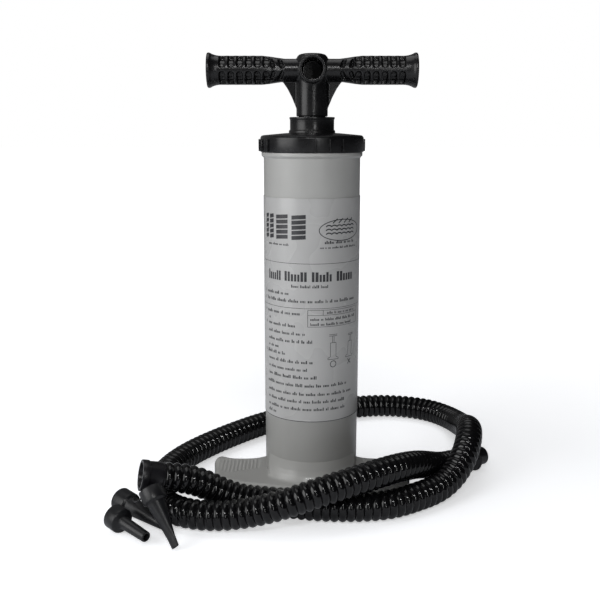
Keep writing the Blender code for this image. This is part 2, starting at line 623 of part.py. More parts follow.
def make_hose():
    fine = hose_line(0.0005)
    along = np.concatenate([[0.0], np.cumsum(np.linalg.norm(np.diff(fine, axis=0), axis=1))])
    wanted = np.linspace(0.0, along[-1], 80)
    line = np.stack([np.interp(wanted, along, fine[:, k]) for k in range(3)], axis=1)
    hose = tube_along("hose", line, HOSE_R, "black_hose", 2)

    back = Vector(line[0] - line[1]).normalized()
    place = aim(Vector(line[0]) + back * GAP, back)
    long = CUFF_LENGTH
    cuff = turned("hose_cuff", [
        (HOSE_R + 0.0003, long), (HOSE_R + 0.0006, long - 0.0006), (HOSE_R + 0.0006, long - 0.0075),
        (HOSE_R, long - 0.0083), (HOSE_R, 0.0), (0.0095, 0.0), (0.0095, long - 0.0205),
        (HOSE_BORE_R, long - 0.0205), (HOSE_BORE_R, long),
    ], "black_plastic", 32, place)

    last = line[-1]
    onward = Vector(last - line[-2]).normalized()
    level = Vector((onward.x, onward.y, 0.0)).normalized()
    place = aim(Vector(last) + level * 0.0008, level)
    connector = turned("hose_connector", [
        (0.0091, CONNECTOR_LENGTH + 0.0150), (0.0100, CONNECTOR_LENGTH + 0.0150),
        (PORT_BORE_R - 0.0002, CONNECTOR_LENGTH + 0.0135), (PORT_BORE_R - 0.0002, CONNECTOR_LENGTH),
        (HOSE_R, CONNECTOR_LENGTH), (HOSE_R, CONNECTOR_LENGTH - 0.0022),
        (HOSE_R - 0.0008, CONNECTOR_LENGTH - 0.0030), (HOSE_R - 0.0008, 0.0),
        (0.0091, 0.0),
    ], "black_plastic", 32, place)
    return hose, cuff, connector


def make_nozzles():
    """Three push-in nozzles lying beside the hose's free end."""
    wide = FOOT_HALF_WIDTH / ROUTE_FOOT
    spigot = SPIGOT_R

    def placed(start, end):
        start = Vector((start[0] * wide, start[1] * wide, start[2]))
        end = Vector((end[0] * wide, end[1] * wide, end[2]))
        return aim(start, end - start)

    cone = turned("nozzle_cone", [
        (0.0026, 0.0665), (0.0040, 0.0665), (0.0094, 0.0130), (spigot - 0.0012, 0.0095), (spigot, 0.0085),
        (spigot, -0.0080), (spigot - 0.0018, -0.0080), (spigot - 0.0018, 0.0065), (0.0065, 0.0130),
    ], "black_soft", 24, placed((-0.1985, -0.0857, 0.0137), (-0.1490, -0.1303, 0.0070)))
    tube = turned("nozzle_tube", [
        (0.0036, 0.0465), (0.0050, 0.0465), (0.0054, 0.0455), (0.0065, 0.0100), (spigot - 0.0010, 0.0080),
        (spigot, 0.0070), (spigot, -0.0060), (spigot - 0.0018, -0.0060), (spigot - 0.0018, 0.0050),
        (0.0046, 0.0085),
    ], "black_soft", 24, placed((-0.1990, -0.1240, 0.0136), (-0.1610, -0.1575, 0.0078)))
    pinch = turned("nozzle_pinch", [
        (0.0016, 0.0555), (0.0032, 0.0555), (0.0060, 0.0340), (0.0092, 0.0090), (spigot - 0.0010, 0.0060),
        (spigot, 0.0050), (spigot, -0.0080), (spigot - 0.0018, -0.0080), (spigot - 0.0018, 0.0030),
        (0.0062, 0.0080), (0.0040, 0.0340),
    ], "black_soft", 24, placed((-0.1588, -0.1367, 0.0435), (-0.1337, -0.1665, 0.0035)))
    return cone, tube, pinch


def make_tether(cuff, cone):
    """A thin line from the cuff's rim down to the cone nozzle."""
    bpy.context.view_layer.update()
    rim_side = math.radians(TETHER_TURN)
    reach = HOSE_R + 0.0006 + TETHER_R + 2 * GAP
    start = cuff.matrix_world @ Vector((reach * math.cos(rim_side), reach * math.sin(rim_side), CUFF_LENGTH - 0.004))
    end = cone.matrix_world @ Vector((0.0, 0.0, 0.0150)) + Vector((0.0, 0.0, 0.0092 + TETHER_R + GAP))
    sag = [start, start + Vector((-0.0030, -0.0040, -0.0075)),
           start.lerp(end, 0.72) + Vector((-0.0030, -0.0050, -0.0030)), end]
    line = smooth_line([tuple(point) for point in sag], 0.0055)
    return tube_along("nozzle_tether", line, TETHER_R, "black_soft", 2)


# ---------------------------------------------------------------- assembly
def build():
    barrel = make_barrel()
    label = make_label()
    cap, gasket, bush, wiper = make_cap()
    handle, plugs, screw_z = make_handle()
    rod, air, rod_screw = make_rod(screw_z)
    lower, upper, chest, seal, bumper, screws = make_piston()
    valves = [
        make_valve("intake_valve_lower", -VALVE_X, PISTON_Z, PISTON_Z + PLATE),
        make_valve("intake_valve_upper", -VALVE_X, UPPER_TOP, UPPER_LOW),
        make_valve("outlet_valve_lower", VALVE_X, PISTON_Z + PLATE, PISTON_Z),
        make_valve("outlet_valve_upper", VALVE_X, UPPER_LOW, UPPER_TOP),
    ]
    hose, cuff, connector = make_hose()
    nozzles = make_nozzles()
    tether = make_tether(cuff, nozzles[0])

    root = joint_empty("pump_base", (0, 0, 0))
    rise = joint_empty("cap_rise_axis", (0, 0, CAP_FLOOR), root)
    turn = joint_empty("cap_turn_axis", (0, 0, CAP_FLOOR), rise)
    stroke = joint_empty("plunger_stroke_axis", (0, 0, PISTON_Z), turn)
    swivel = joint_empty("plunger_swivel_axis", (0, 0, PISTON_Z), stroke)
    for piece in (barrel, label, hose, cuff, connector, tether, *nozzles):
        hang(piece, root)
    hang(gasket, rise)
    for piece in (cap, bush, wiper):
        hang(piece, turn)
    hang(seal, stroke)
    for piece in (handle, *plugs, rod, air, rod_screw, lower, upper, chest, bumper, *screws):
        hang(piece, swivel)
    for valve in valves:
        hang(valve, swivel)


clear_scene()
PARTS = make_collection("hand_air_pump")
CUTTERS = make_collection("cutters")
CUTTERS.hide_render = True
build()
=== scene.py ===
"""Looks of a double-action hand air pump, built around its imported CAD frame.

The pump stands on a moulded grey foot, with a black T-handle, a screw cap, a printed label film,
a glossy corrugated hose lying loose round it, and three nozzles tied to the hose's cuff.
"""

import logging
import math
from dataclasses import dataclass, field
from enum import Enum

import bpy
import numpy as np
from mathutils import Matrix, Vector


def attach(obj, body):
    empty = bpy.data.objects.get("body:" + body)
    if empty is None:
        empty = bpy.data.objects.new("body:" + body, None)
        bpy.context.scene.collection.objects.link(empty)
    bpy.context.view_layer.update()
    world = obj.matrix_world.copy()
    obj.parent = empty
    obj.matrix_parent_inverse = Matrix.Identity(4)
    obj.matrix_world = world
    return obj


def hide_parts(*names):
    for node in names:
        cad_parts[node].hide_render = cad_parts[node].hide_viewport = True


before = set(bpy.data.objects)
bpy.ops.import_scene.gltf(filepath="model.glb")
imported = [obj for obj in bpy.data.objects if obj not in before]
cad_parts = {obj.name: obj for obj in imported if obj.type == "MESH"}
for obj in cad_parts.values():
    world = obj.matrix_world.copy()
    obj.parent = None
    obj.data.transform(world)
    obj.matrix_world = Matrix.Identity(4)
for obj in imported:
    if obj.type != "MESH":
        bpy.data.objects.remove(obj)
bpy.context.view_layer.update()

LOG = logging.getLogger("hand_air_pump")

Point = tuple[float, float, float]
Pair = tuple[float, float]

COAT_ROUGHNESS = 0.08
NOISE_RANGE = {"From Min": 0.3, "From Max": 0.7}
FLOOR_DROP = 0.0004
INK_GAP = 0.00002
INK_HEIGHT = 0.00004
INK_STEP = 0.0016
ROD_RADIUS = 0.0140
ROD_BORE = 0.0120


class Body(Enum):
    """The CAD bodies that the pieces ride on."""

    BARREL = "barrel"
    CAP = "cap"
    PLUNGER = "plunger"


class Side(Enum):
    """Left and right of the handle and foot, as signs along X."""

    LEFT = -1
    RIGHT = 1


def add_node(
    tree: bpy.types.NodeTree, kind: str, values: dict | None = None, operation: str | None = None
) -> bpy.types.Node:
    """Adds a shader node and sets it.

    Args:
        tree: the node tree.
        kind: the node's type.
        values: its inputs' values, by name or number.
        operation: its operation, where it has one.

    Returns:
        The node.
    """
    node = tree.nodes.new(kind)
    if operation is not None:
        node.operation = operation
    for key, value in (values or {}).items():
        node.inputs[key].default_value = value
    return node


# ---------------------------------------------------------------------------- finishes
@dataclass(frozen=True)
class Finish:
    """A moulded or drawn surface with its own grain, waviness and colour drift.

    Attributes:
        name: the material's name.
        colour: base colour, linear.
        roughness: middle of the roughness range.
        roughness_drift: how far the roughness wanders either side.
        colour_drift: how far the colour wanders, as a share of itself.
        grain: size of the fine grain, in cells per metre.
        grain_height: height of the fine grain's bump, in metres.
        wave: size of the slow unevenness, in cells per metre.
        wave_height: height of the slow unevenness, in metres.
        metallic: 1 for bare metal.
        coat: strength of a clear gloss over the base.
        specular: specular level.
    """

    name: str
    colour: Point
    roughness: float = 0.4
    roughness_drift: float = 0.05
    colour_drift: float = 0.06
    grain: float = 2200.0
    grain_height: float = 0.00002
    wave: float = 60.0
    wave_height: float = 0.00005
    metallic: float = 0.0
    coat: float = 0.0
    specular: float = 0.5

    def material(self) -> bpy.types.Material:
        """Builds the material once, and returns it.

        Returns:
            The node-based material.
        """
        found = bpy.data.materials.get(self.name)
        if found is not None:
            return found
        made = bpy.data.materials.new(self.name)
        made.use_nodes = True
        made.diffuse_color = (*self.colour, 1.0)
        tree = made.node_tree
        shader = tree.nodes["Principled BSDF"]
        shader.inputs["Metallic"].default_value = self.metallic
        shader.inputs["Coat Weight"].default_value = self.coat
        shader.inputs["Coat Roughness"].default_value = COAT_ROUGHNESS
        shader.inputs["Specular IOR Level"].default_value = self.specular
        place = add_node(tree, "ShaderNodeTexCoord")
        drift = self._noise(tree, place, self.wave * 0.6, 3.0)
        grain = self._noise(tree, place, self.grain, 2.0)
        slow = self._noise(tree, place, self.wave, 2.0)
        tint = add_node(tree, "ShaderNodeValToRGB")
        shares = (1.0 - self.colour_drift, 1.0 + self.colour_drift)
        for stop, position, share in zip(tint.color_ramp.elements, NOISE_RANGE.values(), shares):
            stop.position = position
            stop.color = (*(min(1.0, value * share) for value in self.colour), 1.0)
        tree.links.new(drift.outputs["Fac"], tint.inputs["Fac"])
        tree.links.new(tint.outputs["Color"], shader.inputs["Base Color"])
        rough = add_node(tree, "ShaderNodeMapRange", {
            **NOISE_RANGE,
            "To Min": max(0.02, self.roughness - self.roughness_drift),
            "To Max": min(1.0, self.roughness + self.roughness_drift),
        })
        tree.links.new(slow.outputs["Fac"], rough.inputs["Value"])
        tree.links.new(rough.outputs["Result"], shader.inputs["Roughness"])
        fine = self._bump(tree, grain, self.grain_height)
        broad = self._bump(tree, slow, self.wave_height)
        tree.links.new(broad.outputs["Normal"], fine.inputs["Normal"])
        tree.links.new(fine.outputs["Normal"], shader.inputs["Normal"])
        return made

    @staticmethod
    def _noise(
        tree: bpy.types.NodeTree, place: bpy.types.Node, scale: float, detail: float
    ) -> bpy.types.Node:
        """Adds a noise on Object coordinates.

        Args:
            tree: the material's node tree.
            place: its Texture Coordinate node.
            scale: cells per metre.
            detail: octaves.

        Returns:
            The noise node.
        """
        noise = add_node(tree, "ShaderNodeTexNoise", {"Scale": scale, "Detail": detail})
        tree.links.new(place.outputs["Object"], noise.inputs["Vector"])
        return noise

    @staticmethod
    def _bump(tree: bpy.types.NodeTree, source: bpy.types.Node, height: float) -> bpy.types.Node:
        """Adds a bump of a given height fed by a noise.

        Args:
            tree: the material's node tree.
            source: the noise node.
            height: height of the bump, in metres.

        Returns:
            The bump node.
        """
        bump = add_node(tree, "ShaderNodeBump", {"Strength": 1.0, "Distance": height})
        tree.links.new(source.outputs["Fac"], bump.inputs["Height"])
        return bump


SHELL_GREY = Finish(
    "moulded_grey", (0.34, 0.34, 0.33), 0.36, 0.05, 0.04, 1500, 0.000012, 25, 0.00018, coat=0.12)
FILM_GREY = Finish(
    "label_film_silver", (0.385, 0.385, 0.382), 0.27, 0.04, 0.03, 2600, 0.000006, 18, 0.00022, coat=0.2)
INK_BLACK = Finish(
    "printing_ink", (0.022, 0.022, 0.025), 0.42, 0.05, 0.25, 3200, 0.000004, 200, 0.000003)
GLOSS_BLACK = Finish(
    "gloss_black_moulding", (0.0045, 0.0045, 0.005), 0.27, 0.05, 0.15, 900, 0.000012, 70, 0.00006,
    specular=0.34)
CAP_BLACK = Finish(
    "cap_black_moulding", (0.0055, 0.0055, 0.006), 0.27, 0.06, 0.15, 1400, 0.000014, 80, 0.00004,
    specular=0.34)
HOSE_BLACK = Finish(
    "gloss_black_hose", (0.0035, 0.0035, 0.004), 0.10, 0.03, 0.2, 700, 0.00001, 110, 0.00003,
    specular=0.34)
SOFT_BLACK = Finish(
    "satin_black_nozzle", (0.0075, 0.0077, 0.009), 0.36, 0.06, 0.15, 1600, 0.000016, 90, 0.00004,
    specular=0.34)
CUFF_BLACK = Finish(
    "satin_black_cuff", (0.0075, 0.0072, 0.009), 0.33, 0.06, 0.15, 1300, 0.000016, 90, 0.00004,
    specular=0.34)
BRIGHT_STEEL = Finish(
    "bright_steel", (0.6, 0.61, 0.63), 0.2, 0.06, 0.03, 3000, 0.000004, 140, 0.00001, metallic=1.0)
WHITE_PLASTIC = Finish("white_moulding", (0.62, 0.62, 0.6), 0.4)
DARK_RUBBER = Finish("dark_rubber", (0.025, 0.025, 0.025), 0.62, 0.08, 0.2, 1800, 0.00004)
PISTON_BLACK = Finish("piston_black_moulding", (0.012, 0.012, 0.013), 0.32, specular=0.34)


# ---------------------------------------------------------------------------- modelling helpers
def deselect() -> None:
    """Leaves object mode with nothing selected."""
    if bpy.context.mode != "OBJECT":
        bpy.ops.object.mode_set(mode="OBJECT")
    bpy.ops.object.select_all(action="DESELECT")


def pick(obj: bpy.types.Object) -> None:
    """Makes one object the only selected and active one.

    Args:
        obj: the object.
    """
    deselect()
    obj.select_set(True)
    bpy.context.view_layer.objects.active = obj


def named(name: str) -> bpy.types.Object:
    """Names the active object and its mesh.

    Args:
        name: the piece's name.

    Returns:
        The object.
    """
    obj = bpy.context.view_layer.objects.active
    obj.name = name
    obj.data.name = name
    return obj


def settle(obj: bpy.types.Object) -> bpy.types.Object:
    """Moves an object's place into its mesh.

    Args:
        obj: the object.

    Returns:
        The same object, at the origin, unturned and unscaled.
    """
    pick(obj)
    bpy.ops.object.transform_apply(location=True, rotation=True, scale=True)
    return obj


def bake(obj: bpy.types.Object) -> bpy.types.Object:
    """Applies every modifier of an object in order.

    Args:
        obj: the object.

    Returns:
        The same object.
    """
    pick(obj)
    for modifier in list(obj.modifiers):
        bpy.ops.object.modifier_apply(modifier=modifier.name)
    return obj


def put(obj: bpy.types.Object, matrix: Matrix) -> bpy.types.Object:
    """Places a mesh by a matrix, in its own points.

    Args:
        obj: the object, at the origin.
        matrix: the placement.

    Returns:
        The same object.
    """
    obj.data.transform(matrix)
    obj.data.update()
    return obj


def smooth(obj: bpy.types.Object, degrees: float = 35.0) -> bpy.types.Object:
    """Shades an object smooth except across its sharp edges.

    Args:
        obj: the object.
        degrees: the sharpest angle that is shaded smooth.

    Returns:
        The same object.
    """
    pick(obj)
    bpy.ops.object.shade_smooth_by_angle(angle=math.radians(degrees))
    return obj


def tidy(obj: bpy.types.Object, merge: float = 0.000002) -> None:
    """Merges doubled points and turns the faces outwards.

    Args:
        obj: the object.
        merge: the merging distance.
    """
    pick(obj)
    bpy.ops.object.mode_set(mode="EDIT")
    bpy.ops.mesh.select_all(action="SELECT")
    bpy.ops.mesh.remove_doubles(threshold=merge)
    bpy.ops.mesh.delete_loose(use_verts=True, use_edges=True, use_faces=False)
    turn_outwards(obj)


def turn_outwards(obj: bpy.types.Object) -> None:
    """Turns every face of an object outwards.

    Args:
        obj: the object.
    """
    pick(obj)
    bpy.ops.object.mode_set(mode="EDIT")
    bpy.ops.mesh.select_all(action="SELECT")
    bpy.ops.mesh.normals_make_consistent(inside=False)
    bpy.ops.object.mode_set(mode="OBJECT")


def round_edges(obj: bpy.types.Object, width: float, segments: int = 2, degrees: float = 30.0) -> None:
    """Rounds an object's sharp edges, or leaves them where the width is 0.

    Args:
        obj: the object.
        width: width of the rounded edges.
        segments: steps in each of them.
        degrees: the bluntest angle that is rounded.
    """
    if width > 0:
        bevel = obj.modifiers.new("edges", "BEVEL")
        bevel.width = width
        bevel.segments = segments
        bevel.limit_method = "ANGLE"
        bevel.angle_limit = math.radians(degrees)
        bake(obj)


def outline_loop(name: str, points: list[Point], filled: bool) -> bpy.types.Object:
    """Adds a circle and moves its points onto an outline.

    Args:
        name: the piece's name.
        points: the outline's corners in order.
        filled: whether the loop holds a face.

    Returns:
        The loop, selected and active.
    """
    deselect()
    fill = "NGON" if filled else "NOTHING"
    bpy.ops.mesh.primitive_circle_add(vertices=len(points), radius=1.0, fill_type=fill)
    obj = named(name)
    for vert, place in zip(obj.data.vertices, points):
        vert.co = place
    obj.data.update()
    pick(obj)
    return obj


def lathe(
    name: str,
    profile: list[Pair],
    steps: int = 96,
    rounding: float = 0.0004,
    matrix: Matrix | None = None,
    segments: int = 2,
) -> bpy.types.Object:
    """Turns a profile round Z, rounds its rims and closes it.

    Args:
        name: the piece's name.
        profile: (radius, z) pairs in order; the last one joins the first.
        steps: steps round.
        rounding: width of the rounded rims; 0 for none.
        matrix: where the piece goes.
        segments: steps in each rounded rim.

    Returns:
        The finished piece.
    """
    obj = outline_loop(name, [(r, 0.0, z) for r, z in profile], filled=False)
    bpy.ops.object.mode_set(mode="EDIT")
    bpy.ops.mesh.select_all(action="SELECT")
    bpy.ops.mesh.spin(
        steps=steps, angle=math.tau, center=(0, 0, 0), axis=(0, 0, 1), use_auto_merge=True)
    bpy.ops.object.mode_set(mode="OBJECT")
    tidy(obj)
    round_edges(obj, rounding, segments, 24)
    if matrix is not None:
        put(obj, matrix)
    return smooth(obj)


def block(
    name: str, centre: Point, size: Point, matrix: Matrix | None = None, rounding: float = 0.0
) -> bpy.types.Object:
    """Adds a box with rounded edges.

    Args:
        name: the piece's name.
        centre: its middle.
        size: its size along each axis.
        matrix: a further placement.
        rounding: width of the rounded edges.

    Returns:
        The box.
    """
    deselect()
    bpy.ops.mesh.primitive_cube_add(size=1.0, location=centre, scale=size)
    obj = settle(named(name))
    round_edges(obj, rounding)
    if matrix is not None:
        put(obj, matrix)
    return obj


def bar(name: str, start: Point, end: Point, radius: float, sides: int = 48) -> bpy.types.Object:
    """Adds a round bar between two points.

    Args:
        name: the piece's name.
        start: one end.
        end: the other end.
        radius: its radius.
        sides: sides round.

    Returns:
        The bar.
    """
    deselect()
    first, last = Vector(start), Vector(end)
    bpy.ops.mesh.primitive_cylinder_add(vertices=sides, radius=radius, depth=(last - first).length)
    return put(named(name), aim((first + last) / 2, last - first))


def slab(
    name: str, outline: list[Pair], low: float, high: float, rounding: float = 0.0
) -> bpy.types.Object:
    """Fills a flat outline in XY and extrudes it upwards.

    Args:
        name: the piece's name.
        outline: its corners in order.
        low: height of the underside.
        high: height of the top.
        rounding: width of the rounded rims.

    Returns:
        The slab.
    """
    obj = outline_loop(name, [(x, y, low) for x, y in outline], filled=True)
    bpy.ops.object.mode_set(mode="EDIT")
    bpy.ops.mesh.select_all(action="SELECT")
    bpy.ops.mesh.extrude_region_move(TRANSFORM_OT_translate={"value": (0, 0, high - low)})
    turn_outwards(obj)
    round_edges(obj, rounding, 3, 50)
    return obj


def combine(
    obj: bpy.types.Object, others: list[bpy.types.Object], operation: str, solver: str = "EXACT"
) -> bpy.types.Object:
    """Joins pieces to an object or cuts them from it, and removes them.

    Args:
        obj: the object that stays.
        others: the pieces used up.
        operation: UNION, DIFFERENCE or INTERSECT.
        solver: EXACT, or MANIFOLD where many close cuts leave EXACT with open edges.

    Returns:
        The object that stays.
    """
    for other in others:
        modifier = obj.modifiers.new("shape", "BOOLEAN")
        modifier.operation = operation
        modifier.solver = solver
        modifier.object = other
        bake(obj)
        bpy.data.objects.remove(other, do_unlink=True)
    return obj


def merge_into(obj: bpy.types.Object, others: list[bpy.types.Object]) -> bpy.types.Object:
    """Joins meshes as loose shells into one object.

    Args:
        obj: the object that stays.
        others: the pieces used up.

    Returns:
        The object that stays.
    """
    pick(obj)
    for other in others:
        other.select_set(True)
    bpy.ops.object.join()
    return obj


def mould(obj: bpy.types.Object, cell: float, passes: int, kept: float = 0.5) -> bpy.types.Object:
    """Remeshes an object into one even skin with soft edges, as from a mould.

    Args:
        obj: the object.
        cell: size of the remeshing cell.
        passes: smoothing passes.
        kept: share of the triangles that is kept.

    Returns:
        The same object.
    """
    remesh = obj.modifiers.new("skin", "REMESH")
    remesh.mode = "VOXEL"
    remesh.voxel_size = cell
    remesh.use_smooth_shade = True
    soften = obj.modifiers.new("soften", "SMOOTH")
    soften.factor = 0.5
    soften.iterations = passes
    thin = obj.modifiers.new("thin", "DECIMATE")
    thin.ratio = kept
    bake(obj)
    pick(obj)
    bpy.ops.object.shade_smooth()
    return obj


def aim(origin: Vector | Point, direction: Vector | Point) -> Matrix:
    """Gives the placement that puts local Z along a direction.

    Args:
        origin: where the local origin goes.
        direction: where local Z points.

    Returns:
        The placement.
    """
    turn = Vector(direction).to_track_quat("Z", "Y").to_matrix().to_4x4()
    return Matrix.Translation(Vector(origin)) @ turn


def finish_piece(
    obj: bpy.types.Object, finish: Finish, body: Body, slot: str, *nodes: str
) -> bpy.types.Object:
    """Dresses a piece, mounts it on its body and hides the CAD nodes it stands for.

    Args:
        obj: the piece.
        finish: its surface.
        body: the CAD body it rides on.
        slot: the record's material slot; not used.
        nodes: the CAD nodes it replaces.

    Returns:
        The piece.
    """
    obj.data.materials.clear()
    obj.data.materials.append(finish.material())
    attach(obj, body.value)
    if nodes:
        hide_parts(*nodes)
    LOG.info("%s on %s", obj.name, body.value)
    return obj


def smooth_line(points: list[Point], step: float) -> np.ndarray:
    """Reads points along the natural cubic spline through given points.

    Args:
        points: the points it passes through.
        step: distance between readings, before the curve is stretched to its true length.

    Returns:
        The readings, one row each.
    """
    given = np.array(points)
    lengths = np.linalg.norm(np.diff(given, axis=0), axis=1)
    along = np.concatenate([[0.0], np.cumsum(lengths)])
    count = len(given)
    system = np.zeros((count, count))
    right = np.zeros((count, 3))
    system[0, 0] = system[-1, -1] = 1.0
    for i in range(1, count - 1):
        system[i, i - 1] = lengths[i - 1]
        system[i, i] = 2 * (lengths[i - 1] + lengths[i])
        system[i, i + 1] = lengths[i]
        after = (given[i + 1] - given[i]) / lengths[i]
        before = (given[i] - given[i - 1]) / lengths[i - 1]
        right[i] = 6 * (after - before)
    bend = np.linalg.solve(system, right)
    at = np.linspace(0.0, along[-1], int(along[-1] / step) + 1)
    i = np.clip(np.searchsorted(along, at, side="right") - 1, 0, count - 2)
    span = lengths[i]
    a = (along[i + 1] - at) / span
    b = (at - along[i]) / span
    line = a[:, None] * given[i] + b[:, None] * given[i + 1]
    line += (a**3 - a)[:, None] * bend[i] * (span**2)[:, None] / 6
    line += (b**3 - b)[:, None] * bend[i + 1] * (span**2)[:, None] / 6
    return line


def evenly(line: np.ndarray, count: int) -> np.ndarray:
    """Reads a line again at even distances.

    Args:
        line: the line's points.
        count: how many readings.

    Returns:
        The readings, one row each.
    """
    along = np.concatenate([[0.0], np.cumsum(np.linalg.norm(np.diff(line, axis=0), axis=1))])
    wanted = np.linspace(0.0, along[-1], count)
    return np.stack([np.interp(wanted, along, line[:, k]) for k in range(3)], axis=1)


def length_of(line: np.ndarray) -> float:
    """Gives a line's length."""
    return float(np.linalg.norm(np.diff(line, axis=0), axis=1).sum())


# ---------------------------------------------------------------------------- camera and light
@dataclass
class Studio:
    """A pale floor with a painted glow, soft light and the camera.

    Attributes:
        eye: the camera's place.
        lens: focal length in millimetres on a 36 mm sensor.
        pitch: how far the camera looks down, in degrees.
        surround: strength of the surround at the left and at the right.
        floor_glow: how brightly the floor's painted glow shines, seen only by the camera, near the pump
            and far from it.
    """

    eye: Point = (-0.0129, -0.923, 0.400)
    lens: float = 50.6
    pitch: float = 11.3
    surround: Pair = (0.24, 0.02)
    floor_glow: Pair = (0.52, 1.05)

    def build(self) -> None:
        """Makes the camera, the floor, the world and the lamps."""
        self._camera()
        self._floor()
        self._world()
        self._lamps()

    def _camera(self) -> None:
        """Makes the scene's camera."""
        data = bpy.data.cameras.new("view")
        data.lens = self.lens
        data.sensor_width = 36.0
        data.clip_start = 0.01
        data.clip_end = 60.0
        camera = bpy.data.objects.new("view", data)
        bpy.context.scene.collection.objects.link(camera)
        camera.location = self.eye
        camera.rotation_euler = (math.radians(90 - self.pitch), 0.0, 0.0)
        bpy.context.scene.camera = camera

    def _floor(self) -> None:
        """Makes a wide pale floor with a painted glow, seen only by the camera, that grows from dim
        near the pump to full white far from it.
        """
        deselect()
        bpy.ops.mesh.primitive_plane_add(size=40.0, location=(0, 0, -FLOOR_DROP))
        floor = named("studio_floor")
        paper = bpy.data.materials.new("pale_floor_painted_glow")
        paper.use_nodes = True
        tree = paper.node_tree
        shader = tree.nodes["Principled BSDF"]
        looks = {
            "Base Color": (0.88, 0.90, 0.94, 1.0), "Roughness": 0.8, "Specular IOR Level": 0.1,
            "Emission Color": (1.0, 1.0, 1.0, 1.0),
        }
        for key, value in looks.items():
            shader.inputs[key].default_value = value
        # painted light: the floor glows for camera rays only, dimmer near the pump so shadows show
        # there, and up to full white far off
        place = add_node(tree, "ShaderNodeTexCoord")
        far = add_node(tree, "ShaderNodeVectorMath", operation="LENGTH")
        glow = add_node(tree, "ShaderNodeMapRange", {
            "From Min": 0.35, "From Max": 1.6,
            "To Min": self.floor_glow[0], "To Max": self.floor_glow[1],
        })
        tree.links.new(place.outputs["Object"], far.inputs[0])
        tree.links.new(far.outputs["Value"], glow.inputs["Value"])
        seen = add_node(tree, "ShaderNodeLightPath")
        lit = add_node(tree, "ShaderNodeMath", operation="MULTIPLY")
        tree.links.new(glow.outputs["Result"], lit.inputs[0])
        tree.links.new(seen.outputs["Is Camera Ray"], lit.inputs[1])
        tree.links.new(lit.outputs["Value"], shader.inputs["Emission Strength"])
        floor.data.materials.append(paper)

    def _world(self) -> None:
        """Makes a surround that is white to look at and lights softly from the left."""
        world = bpy.data.worlds.new("surround")
        bpy.context.scene.world = world
        world.use_nodes = True
        tree = world.node_tree
        back = tree.nodes["Background"]
        back.inputs["Color"].default_value = (1.0, 1.0, 1.0, 1.0)
        place = add_node(tree, "ShaderNodeTexCoord")
        split = add_node(tree, "ShaderNodeSeparateXYZ")
        fall = add_node(tree, "ShaderNodeMapRange", {
            "From Min": -0.8, "From Max": 0.5,
            "To Min": self.surround[0], "To Max": self.surround[1],
        })
        seen = add_node(tree, "ShaderNodeLightPath")
        choose = add_node(tree, "ShaderNodeMix", {3: 1.0})
        tree.links.new(place.outputs["Generated"], split.inputs["Vector"])
        tree.links.new(split.outputs["X"], fall.inputs["Value"])
        tree.links.new(seen.outputs["Is Camera Ray"], choose.inputs[0])
        tree.links.new(fall.outputs["Result"], choose.inputs[2])
        tree.links.new(choose.outputs[0], back.inputs["Strength"])
        bpy.context.scene.view_settings.view_transform = "Standard"

    def _lamps(self) -> None:
        """Hangs the key at the left, two narrow lights at the front and a fill overhead."""
        self._lamp("key", (-1.7, -1.0, 0.85), (0.0, 0.0, 0.24), (1.5, 1.5), 26.0)
        self._lamp("strip", (0.50, -2.0, 0.75), (0.0, 0.0, 0.28), (0.07, 0.9), 4.6)
        self._lamp("glint", (-0.1, -1.5, 1.25), (0.0, 0.0, 0.05), (0.8, 0.045), 8.0)
        self._lamp("top", (-0.2, 0.3, 2.2), (0.0, 0.0, 0.0), (1.4, 1.4), 9.0)

    @staticmethod
    def _lamp(name: str, place: Point, target: Point, size: Pair, power: float) -> None:
        """Hangs one area lamp.

        Args:
            name: its name.
            place: where it hangs.
            target: what it points at.
            size: its width and height.
            power: its power in watts.
        """
        data = bpy.data.lights.new(name, "AREA")
        data.shape = "RECTANGLE"
        data.size, data.size_y = size
        data.energy = power
        lamp = bpy.data.objects.new(name, data)
        bpy.context.scene.collection.objects.link(lamp)
        lamp.location = place
        towards = Vector(target) - Vector(place)
        lamp.rotation_euler = towards.to_track_quat("-Z", "Y").to_euler()


